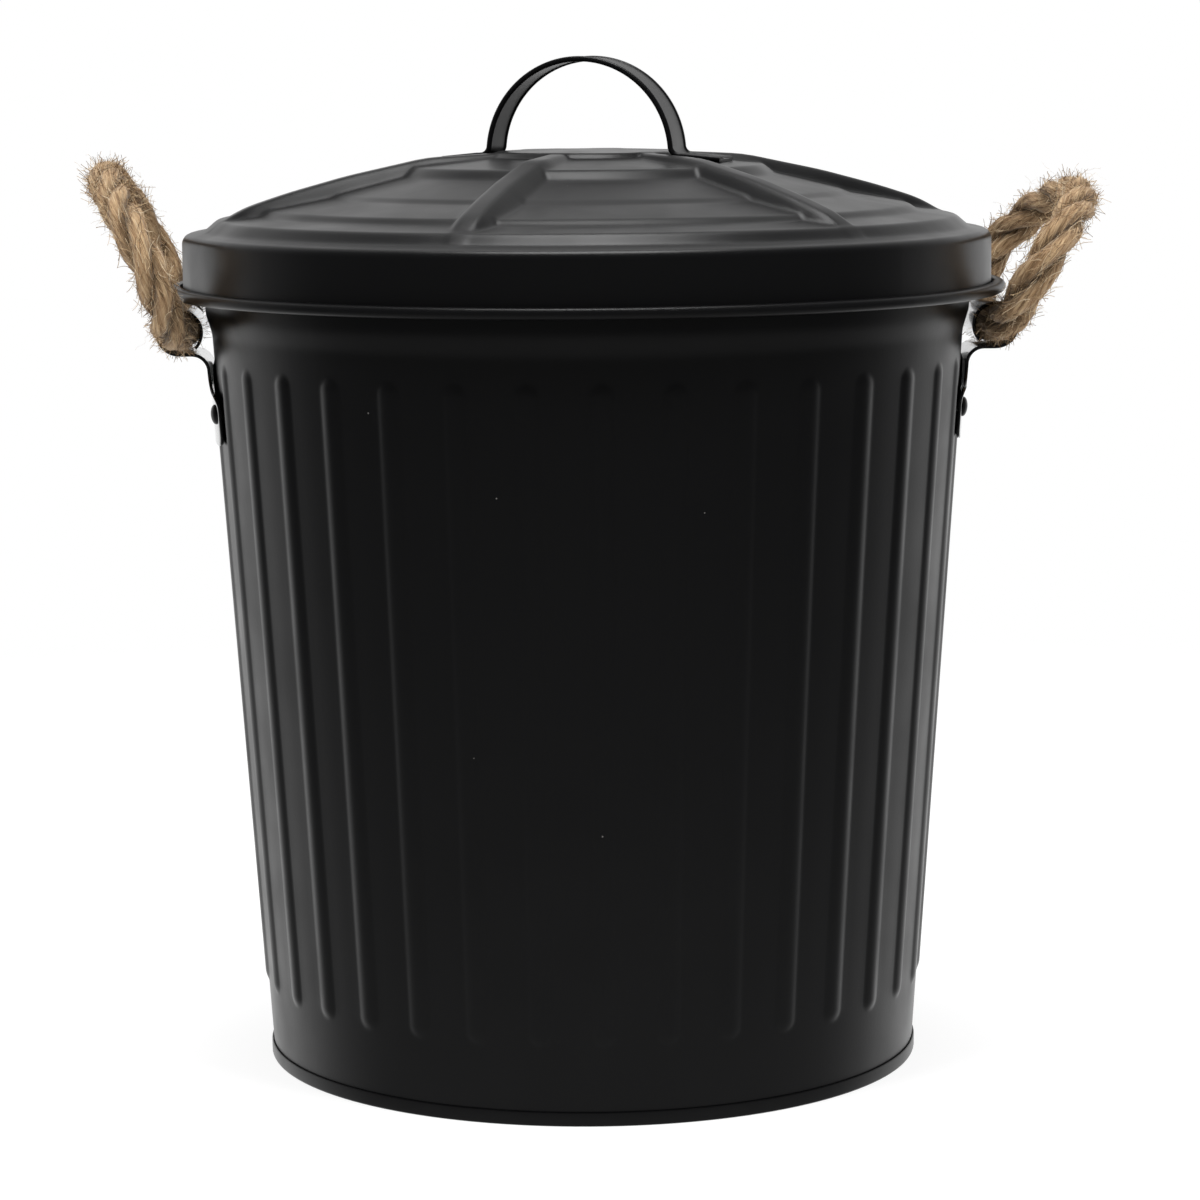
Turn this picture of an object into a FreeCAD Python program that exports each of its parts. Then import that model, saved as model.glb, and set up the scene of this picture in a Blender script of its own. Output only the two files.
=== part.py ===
import FreeCAD, Part
import math
import os
import re

import Sketcher

# A small round pail with a slip-over lid: a fluted tapered wall on a seamed base,
# a stamped lid with a strap handle, and a rope handle on each side.
# Millimetres and degrees.  The origin is the centre of the base's foot, +Z is up,
# and the two side brackets stand on the X axis.

Vector = FreeCAD.Vector
Rotation = FreeCAD.Rotation
Placement = FreeCAD.Placement

doc = FreeCAD.newDocument("pail")

SIZES = [
    ("sheet", 0.6, "thickness of the wall, base and lid sheet"),
    ("fold_gap", 0.1, "clearance inside the base seam's fold"),
    ("seam_radius", 106.4, "outside of the base seam"),
    ("seam_height", 4.5, "height of the base seam's outer fold"),
    ("base_lift", 3.4, "underside of the recessed base disc above the floor"),
    ("fold_round", 0.8, "rounding of the seam's outer lower edge"),
    ("wall_foot", 0.9, "lower edge of the wall inside the seam"),
    ("wall_taper", 0.0669, "growth of the wall's radius per millimetre of height"),
    ("step_height", 237.4, "where the tapered wall ends and steps outwards"),
    ("neck_radius", 123.3, "outside of the straight neck"),
    ("neck_height", 243.8, "lower end of the straight neck"),
    ("rim_height", 266.1, "centre of the curled rim"),
    ("rim_curl", 2.6, "outer radius of the rim's curl"),
    ("flute_count", 34, "pressed flutes round the wall"),
    ("flute_rise", 0.9, "how far a flute stands out of the wall"),
    ("flute_width", 7.5, "width of a flute"),
    ("flute_low", 25.0, "lower end of the flutes"),
    ("flute_high", 229.0, "upper end of the flutes"),
    ("lid_gap", 0.3, "gap between the lid and the rim that it rests on"),
    ("lid_play", 1.8, "radial play of the lid's skirt over the rim"),
    ("lid_turn", 9.7, "how far the lid is turned on the can"),
    ("ledge_slope", 0.2, "fall of the lid's ledge over the rim per millimetre of radius"),
    ("ledge_inner", 123.0, "inner radius of the ledge, where it turns up to the panels"),
    ("shoulder_radius", 3.0, "rounding between the ledge and the skirt"),
    ("skirt_drop", 17.7, "from the shoulder's corner down to the hem's centre"),
    ("hem_width", 5.3, "width of the lid's flattened curled hem"),
    ("hem_height", 3.6, "height of the lid's flattened curled hem"),
    ("hem_mouth", 1.0, "slot between the skirt and the curled edge of the hem"),
    ("panel_radius", 119.0, "outer end of the lid's sunk panels"),
    ("panel_rise", 3.46, "panels' outer end above the ledge's inner end"),
    ("crown_radius", 29.0, "flat crown in the middle of the lid"),
    ("crown_rise", 20.9, "edge of the crown above the panels' outer end"),
    ("tread_1_in", 31.0, "first terrace, inner radius"),
    ("tread_1_in_rise", 19.0, "first terrace, inner height"),
    ("tread_1_out", 57.0, "first terrace, outer radius"),
    ("tread_1_out_rise", 16.5, "first terrace, outer height"),
    ("tread_2_in", 61.0, "second terrace, inner radius"),
    ("tread_2_in_rise", 13.4, "second terrace, inner height"),
    ("tread_2_out", 82.0, "second terrace, outer radius"),
    ("tread_2_out_rise", 8.3, "second terrace, outer height"),
    ("tread_3_in", 85.0, "third terrace, inner radius"),
    ("tread_3_in_rise", 7.0, "third terrace, inner height"),
    ("tread_3_out", 104.0, "third terrace, outer radius"),
    ("tread_3_out_rise", 3.5, "third terrace, outer height"),
    ("tread_4_in", 107.0, "last terrace, inner radius"),
    ("tread_4_in_rise", 1.6, "last terrace, inner height"),
    ("rib_count", 6, "raised ribs of the lid"),
    ("rib_crest", 8.0, "width of a rib's crest"),
    ("rib_foot", 20.0, "width of a rib at its foot"),
    ("rib_depth", 6.0, "height of a rib's flanks"),
    ("rib_start", 27.0, "inner end of a rib"),
    ("rib_start_rise", 20.7, "crest there, above the panels' outer end"),
    ("rib_top", 52.0, "rib station where the crest starts to fall"),
    ("rib_top_rise", 19.4, "crest there, above the panels' outer end"),
    ("rib_middle", 78.0, "rib station half way out"),
    ("rib_middle_rise", 13.9, "crest there, above the panels' outer end"),
    ("rib_far", 97.0, "rib station near the ledge"),
    ("rib_far_rise", 8.8, "crest there, above the panels' outer end"),
    ("rib_brow", 111.0, "rib station where the crest turns down"),
    ("rib_brow_rise", 4.3, "crest there, above the panels' outer end"),
    ("rib_end", 119.5, "outer end of a rib"),
    ("rib_end_drop", 0.6, "crest there, below the panels' outer end"),
    ("rib_narrowing", 0.5, "how much narrower a rib is on its underside"),
    ("strap_thickness", 0.9, "lid handle strap"),
    ("strap_width", 16.0, "lid handle strap"),
    ("arch_radius", 31.2, "outside of the lid handle's arch"),
    ("arch_height", 324.4, "top of the lid handle"),
    ("strap_bend", 3.0, "inside radius of the handle's bend to its foot"),
    ("foot_reach", 47.0, "outer end of the handle's feet from the lid's axis"),
    ("foot_round", 3.0, "rounding of the feet's corners"),
    ("seat_gap", 0.05, "gap under parts that are riveted down"),
    ("rivet_reach", 43.5, "lid rivets from the lid's axis"),
    ("lid_rivet_head", 5.6, "diameter of the lid rivets' heads"),
    ("lid_rivet_shank", 3.0, "diameter of the lid rivets' shanks"),
    ("lid_rivet_tail", 4.6, "diameter of the lid rivets' set tails"),
    ("lid_rivet_dome", 0.8, "height of the lid rivets' flattened heads"),
    ("bracket_sheet", 1.0, "side bracket sheet"),
    ("bracket_low", 202.5, "lower edge of the bracket plate"),
    ("bracket_high", 226.0, "upper edge of the bracket plate"),
    ("bracket_half_angle", 13.3, "half of the plate's wrap round the can"),
    ("bracket_shoulder", 219.0, "where the plate starts to narrow to its tongue"),
    ("bracket_corner", 4.0, "rounding of the plate's corners"),
    ("tongue_low", 214.0, "lower end of the tongue that runs up to the eye"),
    ("tongue_rise", 0.08, "how far the flat tongue stands out of the curved plate"),
    ("eye_length", 28.0, "length of the eye along the can's side"),
    ("eye_bore", 6.6, "inside radius of the rope eye"),
    ("eye_gap", 0.3, "gap between the eye and the neck"),
    ("eye_height", 238.0, "centre of the rope eye"),
    ("web_round", 5.0, "radius of the bend under the eye"),
    ("eye_end", 225.0, "angle at which the rolled eye ends"),
    ("rivet_angle", 10.4, "side rivets, measured round the can"),
    ("rivet_height", 212.5, "side rivets above the floor"),
    ("side_rivet_head", 6.4, "diameter of the side rivets' heads"),
    ("side_rivet_shank", 3.6, "diameter of the side rivets' shanks"),
    ("side_rivet_tail", 5.6, "diameter of the side rivets' set tails"),
    ("side_rivet_dome", 1.5, "height of the side rivets' heads"),
    ("rivet_set", 1.1, "height of a rivet's set tail"),
    ("rivet_clearance", 0.05, "radial clearance of a rivet in its holes"),
    ("rope_diameter", 12.5, "jute rope"),
]

sheet = doc.addObject("Spreadsheet::Sheet", "sizes")
for row, (alias, amount, note) in enumerate(SIZES, 1):
    sheet.set(f"A{row}", note)
    sheet.set(f"B{row}", str(amount))
    sheet.setAlias(f"B{row}", alias)
doc.recompute()

ALIASES = [alias for alias, _, _ in SIZES]
WORD = re.compile(r"[a-z][a-z_0-9]*")


def bound(text):
    """The expression in which each size's name points at its cell."""
    return WORD.sub(lambda word: "sizes." + word[0] if word[0] in ALIASES else word[0], text)


def value(text):
    return float(sheet.evalExpression(bound(text)))


def origin_plane(body, role):
    return next(item for item in body.Origin.OriginFeatures if item.Role == role)


def new_body(label):
    body = doc.addObject("PartDesign::Body", label)
    body.Label = label
    return body


def new_sketch(body, name, plane="XZ_Plane", turn=None, offset=None):
    """A sketch on one of the body's own planes, turned about or moved along +Z or X."""
    sketch = body.newObject("Sketcher::SketchObject", name)
    sketch.AttachmentSupport = [(origin_plane(body, plane), "")]
    sketch.MapMode = "FlatFace"
    if turn:
        sketch.AttachmentOffset = Placement(Vector(), Rotation(Vector(0, 1, 0), 1.0))
        sketch.setExpression("AttachmentOffset.Rotation.Angle", bound(turn))
    if offset:
        sketch.setExpression("AttachmentOffset.Base.z", bound(offset))
    return sketch


def hold(sketch, direction, geometry, vertex, text):
    """Bind one coordinate of a point in a sketch."""
    if text == "0":
        axis = -2 if direction == "DistanceX" else -1
        sketch.addConstraint(Sketcher.Constraint("PointOnObject", geometry, vertex, axis))
        return
    place = Sketcher.Constraint(direction, -1, 1, geometry, vertex, value(text))
    number = sketch.addConstraint(place)
    sketch.setExpression(f"Constraints[{number}]", bound(text))


def draw(sketch, corners):
    """A closed outline.  A corner is (x, y) or, before an arc, (x, y, centre x, centre y, turn)."""
    base = sketch.GeometryCount
    spots = [Vector(value(corner[0]), value(corner[1]), 0) for corner in corners]
    ends = []
    for index, corner in enumerate(corners):
        start, stop = spots[index], spots[(index + 1) % len(spots)]
        if len(corner) == 2:
            sketch.addGeometry(Part.LineSegment(start, stop), False)
            ends.append((1, 2))
            continue
        centre = Vector(value(corner[2]), value(corner[3]), 0)
        first, last = (start, stop) if corner[4] > 0 else (stop, start)
        angles = [math.atan2(spot.y - centre.y, spot.x - centre.x) for spot in (first, last)]
        if angles[1] <= angles[0]:
            angles[1] += 2 * math.pi
        circle = Part.Circle(centre, Vector(0, 0, 1), (start - centre).Length)
        sketch.addGeometry(Part.ArcOfCircle(circle, *angles), False)
        ends.append((1, 2) if corner[4] > 0 else (2, 1))
    for index, corner in enumerate(corners):
        after = (index + 1) % len(corners)
        joint = (base + index, ends[index][1], base + after, ends[after][0])
        sketch.addConstraint(Sketcher.Constraint("Coincident", *joint))
    for index, corner in enumerate(corners):
        hold(sketch, "DistanceX", base + index, ends[index][0], corner[0])
        hold(sketch, "DistanceY", base + index, ends[index][0], corner[1])
        if len(corner) > 2:
            chord = spots[(index + 1) % len(spots)] - spots[index]
            if abs(chord.x) > abs(chord.y):
                hold(sketch, "DistanceY", base + index, 3, corner[3])
            else:
                hold(sketch, "DistanceX", base + index, 3, corner[2])
    return sketch


def turn_round(body, kind, sketch, axis="V_Axis", angle=None):
    """Add (Revolution) or cut (Groove) the sketch's sweep about an axis."""
    feature = body.newObject(f"PartDesign::{kind}", f"{sketch.Name}_{kind.lower()}")
    feature.Profile = sketch
    feature.ReferenceAxis = (sketch, [axis])
    if angle:
        feature.Midplane = True
        feature.setExpression("Angle", bound(angle))
    else:
        feature.Angle = 360
    sketch.Visibility = False
    return feature


def copy_round(body, feature, count):
    pattern = body.newObject("PartDesign::PolarPattern", f"{feature.Name}_round")
    pattern.Originals = [feature]
    pattern.Axis = (origin_plane(body, "Z_Axis"), [""])
    pattern.Angle = 360
    pattern.setExpression("Occurrences", bound(count))
    body.Tip = pattern
    return pattern


def spin(body, kind, name, corners, turn=None):
    """Sweep an outline about its own last edge, in a plane turned about +Z."""
    sketch = draw(new_sketch(body, name, turn=turn), corners)
    last = len(corners) - 1
    axis = sketch.addGeometry(sketch.Geometry[last], True)
    for vertex in (1, 2):
        sketch.addConstraint(Sketcher.Constraint("Coincident", axis, vertex, last, vertex))
    return turn_round(body, kind, sketch, "Axis0")


def cut_corners(body, name, plane, outlines):
    """Cut outlines right through the body, both ways from one of its planes."""
    sketch = new_sketch(body, name, plane)
    for corners in outlines:
        draw(sketch, corners)
    pocket = body.newObject("PartDesign::Pocket", f"{name}_pocket")
    pocket.Profile = sketch
    pocket.Type = "ThroughAll"
    pocket.Midplane = True
    sketch.Visibility = False
    return pocket


def pad(body, name, corners, width):
    sketch = draw(new_sketch(body, name), corners)
    feature = body.newObject("PartDesign::Pad", f"{name}_pad")
    feature.Profile = sketch
    feature.Midplane = True
    feature.setExpression("Length", bound(width))
    sketch.Visibility = False
    return feature


def turned(body, angle):
    """Turn a whole body about the can's axis."""
    body.Placement = Placement(Vector(), Rotation(Vector(0, 0, 1), 1.0))
    body.setExpression("Placement.Rotation.Angle", bound(angle))
    return body


def curl_outline(x, y, radius, first, last):
    """A rolled edge's section: an open ring of the sheet between two angles."""
    inner = f"({radius} - sheet)"
    steps = max(2, math.ceil(abs(last - first) / 120.0))
    turn = 1 if last > first else -1
    angles = [first + (last - first) * step / steps for step in range(steps + 1)]

    def at(length, angle):
        return f"{x} + {length} * cos({angle} deg)", f"{y} + {length} * sin({angle} deg)"

    outside = [at(radius, angle) + (x, y, turn) for angle in angles[:-1]]
    inside = [at(inner, angle) + (x, y, -turn) for angle in reversed(angles[1:])]
    return outside + [at(radius, angles[-1])] + inside + [at(inner, angles[0])]


# Radii that more than one piece shares.
def wall(height):
    """Outside radius of the tapered wall at a height."""
    return f"(seam_radius - sheet - fold_gap + wall_taper * (({height}) - seam_height))"


RIM_X = "(neck_radius - sheet + rim_curl)"
SKIRT = "(neck_radius + 2 * rim_curl + lid_play)"
LEDGE_LEAN = "sqrt(1 + ledge_slope ^ 2)"


def ledge(reach):
    """Height of the lid's ledge, which rests on the rim, at a distance from the axis."""
    return (f"(rim_height + (rim_curl + lid_gap + sheet) * {LEDGE_LEAN}"
            f" + ledge_slope * ({RIM_X} - ({reach})))")


PANEL_EDGE = f"({ledge('ledge_inner')} + panel_rise)"
HEM_Z = f"({ledge(SKIRT)} - skirt_drop)"
TREAD_SLOPE = "((tread_1_in_rise - tread_1_out_rise) / (tread_1_out - tread_1_in))"
EYE_OUT = "(eye_bore + bracket_sheet)"
EYE_X = f"(neck_radius + eye_gap + {EYE_OUT})"


def seat(height):
    """Inside radius of a side bracket's plate, which rides on the flutes' crests."""
    return f"({wall(height)} + flute_rise + seat_gap)"


def tread(reach):
    """Height of the lid's first terrace at a distance from the axis."""
    return f"({PANEL_EDGE} + tread_1_in_rise - {TREAD_SLOPE} * (({reach}) - tread_1_in))"


RIVET_SIZES = ("head", "shank", "tail", "dome")


class Axis:
    """A rivet's axis in the XZ plane: from the outer sheet's face, outwards."""

    def __init__(self, x, z, lean):
        self.x, self.z, self.lean = x, z, lean

    def spot(self, along, off):
        """A point given by its place along the axis and off it."""
        cosine, sine = f"cos({self.lean})", f"sin({self.lean})"
        return (f"{self.x} + ({along}) * {cosine} - ({off}) * {sine}",
                f"{self.z} + ({along}) * {sine} + ({off}) * {cosine}")

    def hole(self, shank, reach="6"):
        radius = f"{shank} / 2 + rivet_clearance"
        ends = [(f"-{reach}", "0"), (f"-{reach}", radius), (reach, radius), (reach, "0")]
        return [self.spot(*end) for end in ends]

    def rivet(self, kind, grip):
        """A domed head, a shank and a set tail; the last edge lies on the axis."""
        head, shank, tail, dome = (f"{kind}_rivet_{size}" for size in RIVET_SIZES)
        foot, crown = "seat_gap", f"(seat_gap + {dome})"
        ball = f"(({dome} ^ 2 + ({head} / 2) ^ 2) / (2 * {dome}))"
        back, end = f"-({grip} + seat_gap)", f"-({grip} + seat_gap + rivet_set)"
        flat = [(end, "0"), (end, f"{tail} / 2"), (back, f"{tail} / 2"), (back, f"{shank} / 2"),
                (foot, f"{shank} / 2")]
        over = (*self.spot(foot, f"{head} / 2"), *self.spot(f"{crown} - {ball}", "0"), -1)
        return [self.spot(*end) for end in flat] + [over, self.spot(crown, "0")]


SIDE_AXIS = Axis(f"({seat('rivet_height')} + bracket_sheet)", "rivet_height", "-atan(wall_taper)")
LID_AXIS = Axis("rivet_reach", f"({tread('rivet_reach')} + seat_gap + strap_thickness)",
                f"(90 deg - atan({TREAD_SLOPE}))")

# Where the rivets stand round the axis.
SIDE_RIVETS = {
    "right_bracket_rivet_front": "-rivet_angle",
    "right_bracket_rivet_back": "rivet_angle",
    "left_bracket_rivet_front": "180 + rivet_angle",
    "left_bracket_rivet_back": "180 - rivet_angle",
}
HANDLE_TURN = "-180 / rib_count"
LID_RIVETS = {
    "lid_handle_rivet_front": f"lid_turn + {HANDLE_TURN}",
    "lid_handle_rivet_back": f"lid_turn + 180 + {HANDLE_TURN}",
}


# The wall: one rolled sheet, tapered, stepped out to a straight neck and curled at
# the top, with long flutes pressed outwards.
def make_wall():
    body = new_body("can_wall")

    def section(inset):
        return [
            ("0", "wall_foot"),
            (f"{wall('wall_foot')} - {inset}", "wall_foot"),
            (f"{wall('step_height')} - {inset}", "step_height"),
            (f"neck_radius - {inset}", "neck_height"),
            (f"neck_radius - {inset}", "rim_height"),
            ("0", "rim_height"),
        ]

    # A flute is the part of a thin long barrel that stands out of the wall.
    barrel = "((flute_width ^ 2 / 4 + flute_rise ^ 2) / (2 * flute_rise))"
    low, high = "(flute_low + flute_width / 2)", "(flute_high - flute_width / 2)"

    def flute(name, kind, radius):
        across = f"({radius} / sqrt(1 + wall_taper ^ 2))"
        foot = (f"{wall(low)} - {barrel} + flute_rise", low)
        head = (f"{wall(high)} - {barrel} + flute_rise", high)
        outline = [
            (f"{foot[0]} - {across} * wall_taper", f"{low} - {across}", *foot, 1),
            (f"{foot[0]} + {across}", f"{low} - {across} * wall_taper"),
            (f"{head[0]} + {across}", f"{high} - {across} * wall_taper", *head, 1),
            (f"{head[0]} + {across} * wall_taper", f"{high} + {across}"),
        ]
        copy_round(body, spin(body, kind, name, outline, "180 / flute_count"), "flute_count")

    turn_round(body, "Revolution", draw(new_sketch(body, "wall_outside"), section("0")))
    flute("flute_outside", "Revolution", barrel)
    turn_round(body, "Groove", draw(new_sketch(body, "wall_inside"), section("sheet")))
    flute("flute_inside", "Groove", f"({barrel} - sheet)")
    rim = curl_outline(RIM_X, "rim_height", "rim_curl", 180, -125)
    turn_round(body, "Revolution", draw(new_sketch(body, "rim"), rim))
    for name, turn in SIDE_RIVETS.items():
        spin(body, "Groove", f"hole_for_{name}", SIDE_AXIS.hole("side_rivet_shank"), turn)
    return body


# The base: a recessed disc whose edge is folded down, out and up again round the
# wall's lower edge, which is the seam the can stands on.
def make_base():
    body = new_body("can_base")
    lip = "(seam_radius - sheet)"
    fold = f"({wall('wall_foot')} - sheet - fold_gap)"
    top = "(base_lift + sheet)"
    round_off = "(seam_radius - fold_round)"
    outline = [
        ("0", "base_lift"),
        (f"{fold} - sheet", "base_lift"),
        (f"{fold} - sheet", "0"),
        (round_off, "0", round_off, "fold_round", 1),
        ("seam_radius", "fold_round"),
        ("seam_radius", "seam_height"),
        (lip, "seam_height"),
        (lip, "sheet"),
        (fold, "sheet"),
        (fold, top),
        ("0", top),
    ]
    turn_round(body, "Revolution", draw(new_sketch(body, "base_section"), outline))
    return body


# A side bracket: a plate bent to the can, with a tongue that bends out and is rolled
# into an open eye for the rope.  The same bracket serves both sides.
def make_bracket(label, turn):
    body = new_body(label)
    plate = [
        (seat("bracket_low"), "bracket_low"),
        (f"{seat('bracket_low')} + bracket_sheet", "bracket_low"),
        (f"{seat('bracket_high')} + bracket_sheet", "bracket_high"),
        (seat("bracket_high"), "bracket_high"),
    ]
    sketch = draw(new_sketch(body, f"{label}_plate"), plate)
    turn_round(body, "Revolution", sketch, angle="2 * bracket_half_angle")

    side = f"(({seat('bracket_shoulder')} + bracket_sheet) * sin(bracket_half_angle * 1 deg))"
    tongue, fillet = "(eye_length / 2)", "(bracket_high - bracket_shoulder)"
    clear, top, bottom = f"({side} + 5)", "(bracket_high + 1)", "(bracket_low - 1)"
    trims = []
    for sign in (1, -1):
        corner = f"{sign} * ({side} - bracket_corner)"
        inner = f"{sign} * ({tongue} + {fillet})"
        high, low = "(bracket_shoulder - bracket_corner)", "(bracket_low + bracket_corner)"
        trims.append([
            (f"{sign} * {tongue}", "bracket_high", inner, "bracket_high", sign),
            (inner, "bracket_shoulder"),
            (corner, "bracket_shoulder", corner, high, -sign),
            (f"{sign} * {side}", high),
            (f"{sign} * {clear}", high),
            (f"{sign} * {clear}", top),
            (f"{sign} * {tongue}", top),
        ])
        trims.append([
            (corner, "bracket_low", corner, low, sign),
            (f"{sign} * {side}", low),
            (f"{sign} * {clear}", low),
            (f"{sign} * {clear}", bottom),
            (corner, bottom),
        ])
    cut_corners(body, f"{label}_trim", "YZ_Plane", trims)

    bend = f"(eye_height - {EYE_OUT} - web_round)"
    back = f"({seat(bend)} + tongue_rise)"
    face = f"({back} + bracket_sheet)"
    centre = (f"({face} + web_round)", bend)
    under, over = f"eye_height - {EYE_OUT}", "eye_height - eye_bore"

    def rolled(radius, angle, way=None):
        spot = (f"{EYE_X} + {radius} * cos({angle})", f"eye_height + {radius} * sin({angle})")
        return spot + (EYE_X, "eye_height", way) if way else spot

    tongue_outline = [
        (f"{seat('tongue_low')} + tongue_rise + bracket_sheet", "tongue_low"),
        (face, bend, *centre, -1),
        (centre[0], under),
        (EYE_X, under, EYE_X, "eye_height", 1),
        rolled(EYE_OUT, "30 deg", 1),
        rolled(EYE_OUT, "150 deg", 1),
        rolled(EYE_OUT, "eye_end * 1 deg"),
        rolled("eye_bore", "eye_end * 1 deg", -1),
        rolled("eye_bore", "150 deg", -1),
        rolled("eye_bore", "30 deg", -1),
        (EYE_X, over),
        (centre[0], over, *centre, 1),
        (back, bend),
        (f"{seat('tongue_low')} + tongue_rise", "tongue_low"),
    ]
    pad(body, f"{label}_tongue", tongue_outline, "eye_length")
    for sign in ("-", ""):
        name = f"{label}_hole_{'front' if sign else 'back'}"
        spin(body, "Groove", name, SIDE_AXIS.hole("side_rivet_shank"), f"{sign}rivet_angle")
    return turned(body, turn)


# The lid: one stamping with a flat crown, four falling terraces between six raised
# ribs, a step down to a ledge that rests on the rim, and a skirt with a curled hem.
def make_lid():
    body = new_body("lid_shell")
    terraces = ["tread_4_in", "tread_3_out", "tread_3_in", "tread_2_out", "tread_2_in",
                "tread_1_out", "tread_1_in"]

    def section(drop):
        edge = f"({SKIRT} - {drop})"
        corner = f"({ledge(edge)} - {drop})"
        radius = f"(shoulder_radius - {drop})"
        reach = f"({radius} * ({LEDGE_LEAN} - ledge_slope))"
        return [
            ("0", HEM_Z),
            (edge, HEM_Z),
            (edge, f"{corner} - {reach}", f"{edge} - {radius}", f"{corner} - {reach}", 1),
            (f"{edge} - {reach} / {LEDGE_LEAN}",
             f"{corner} + {reach} * ledge_slope / {LEDGE_LEAN}"),
            ("ledge_inner", f"{ledge('ledge_inner')} - {drop}"),
            ("panel_radius", f"{PANEL_EDGE} - {drop}"),
            *[(radius, f"{PANEL_EDGE} - {drop} + {radius}_rise") for radius in terraces],
            ("crown_radius", f"{PANEL_EDGE} - {drop} + crown_rise"),
            ("0", f"{PANEL_EDGE} - {drop} + crown_rise"),
        ]

    stations = [("rib_start", "rib_start_rise"), ("rib_top", "rib_top_rise"),
                ("rib_middle", "rib_middle_rise"), ("rib_far", "rib_far_rise"),
                ("rib_brow", "rib_brow_rise"), ("rib_end", "-rib_end_drop")]

    def ribs(kind, drop, narrowing):
        sketches = []
        for place, rise in stations:
            sketch = new_sketch(body, f"{place}_{kind.lower()}", "YZ_Plane", offset=place)
            crest = f"({PANEL_EDGE} - {drop} + {rise})"
            half = f"((rib_crest - {narrowing}) / 2)"
            foot = f"((rib_foot - {narrowing}) / 2)"
            draw(sketch, [(half, crest), (f"-{half}", crest),
                          (f"-{foot}", f"{crest} - rib_depth"), (foot, f"{crest} - rib_depth")])
            sketch.Visibility = False
            sketches.append(sketch)
        loft = body.newObject(f"PartDesign::{kind}Loft", f"rib_{kind.lower()}")
        loft.Profile = sketches[0]
        loft.Sections = sketches[1:]
        loft.Ruled = True
        copy_round(body, loft, "rib_count")

    turn_round(body, "Revolution", draw(new_sketch(body, "lid_outside"), section("0")))
    ribs("Additive", "0", "0")
    turn_round(body, "Groove", draw(new_sketch(body, "lid_inside"), section("sheet")))
    ribs("Subtractive", "sheet", "rib_narrowing")

    half = "(hem_height / 2)"
    near, far = f"({SKIRT} - sheet + {half})", f"({SKIRT} - sheet + hem_width - {half})"
    low, high = f"({HEM_Z} - {half})", f"({HEM_Z} + {half})"
    hem = [
        (f"{SKIRT} - sheet", HEM_Z, near, HEM_Z, 1),
        (near, low),
        (far, low, far, HEM_Z, 1),
        (far, high),
        (f"{SKIRT} + hem_mouth", high),
        (f"{SKIRT} + hem_mouth", f"{high} - sheet"),
        (far, f"{high} - sheet", far, HEM_Z, -1),
        (far, f"{low} + sheet"),
        (near, f"{low} + sheet", near, HEM_Z, -1),
        (SKIRT, HEM_Z),
    ]
    turn_round(body, "Revolution", draw(new_sketch(body, "hem"), hem))
    for index, half_turn in enumerate(("0", "180")):
        turn = f"{half_turn} + {HANDLE_TURN}"
        spin(body, "Groove", f"lid_hole_{index}", LID_AXIS.hole("lid_rivet_shank"), turn)
    return turned(body, "lid_turn")


# The lid's handle: a flat strap bent into an arch, with a foot at each end that lies
# on the first terrace.
def make_handle():
    body = new_body("lid_handle")
    hub = "(arch_height - arch_radius)"
    outer_foot = f"({tread('foot_reach')} + seat_gap)"
    bend = f"({tread('arch_radius + strap_bend')} + seat_gap + strap_thickness + strap_bend)"
    out = f"sqrt(arch_radius ^ 2 - ({bend} - {hub}) ^ 2)"
    inn = f"sqrt((arch_radius - strap_thickness) ^ 2 - ({bend} - {hub}) ^ 2)"
    knee = f"({out} + strap_bend)"
    top = f"({bend} - strap_bend)"
    sole = f"({top} - ({out} - {inn}))"
    outline = [
        (knee, sole),
        ("foot_reach", outer_foot),
        ("foot_reach", f"{outer_foot} + strap_thickness"),
        (knee, top, knee, bend, -1),
        (out, bend, "0", hub, 1),
        (f"-{out}", bend, f"-{knee}", bend, -1),
        (f"-{knee}", top),
        ("-foot_reach", f"{outer_foot} + strap_thickness"),
        ("-foot_reach", outer_foot),
        (f"-{knee}", sole, f"-{knee}", bend, 1),
        (f"-{inn}", bend, "0", hub, -1),
        (inn, bend, knee, bend, 1),
    ]
    pad(body, "strap", outline, "strap_width")
    trims = []
    for along in (1, -1):
        for across in (1, -1):
            start = f"{along} * (foot_reach - foot_round)"
            side = f"{across} * (strap_width / 2 - foot_round)"
            trims.append([
                (start, f"{across} * strap_width / 2", start, side, -along * across),
                (f"{along} * foot_reach", side),
                (f"{along} * (foot_reach + 2)", side),
                (f"{along} * (foot_reach + 2)", f"{across} * (strap_width / 2 + 2)"),
                (start, f"{across} * (strap_width / 2 + 2)"),
            ])
    cut_corners(body, "feet_trim", "XY_Plane", trims)
    for index, turn in enumerate(("0", "180")):
        spin(body, "Groove", f"foot_hole_{index}", LID_AXIS.hole("lid_rivet_shank"), turn)
    return turned(body, f"lid_turn + {HANDLE_TURN}")


def make_rivet(label, outline, turn):
    body = new_body(label)
    spin(body, "Revolution", f"{label}_section", outline)
    return turned(body, turn)


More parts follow.
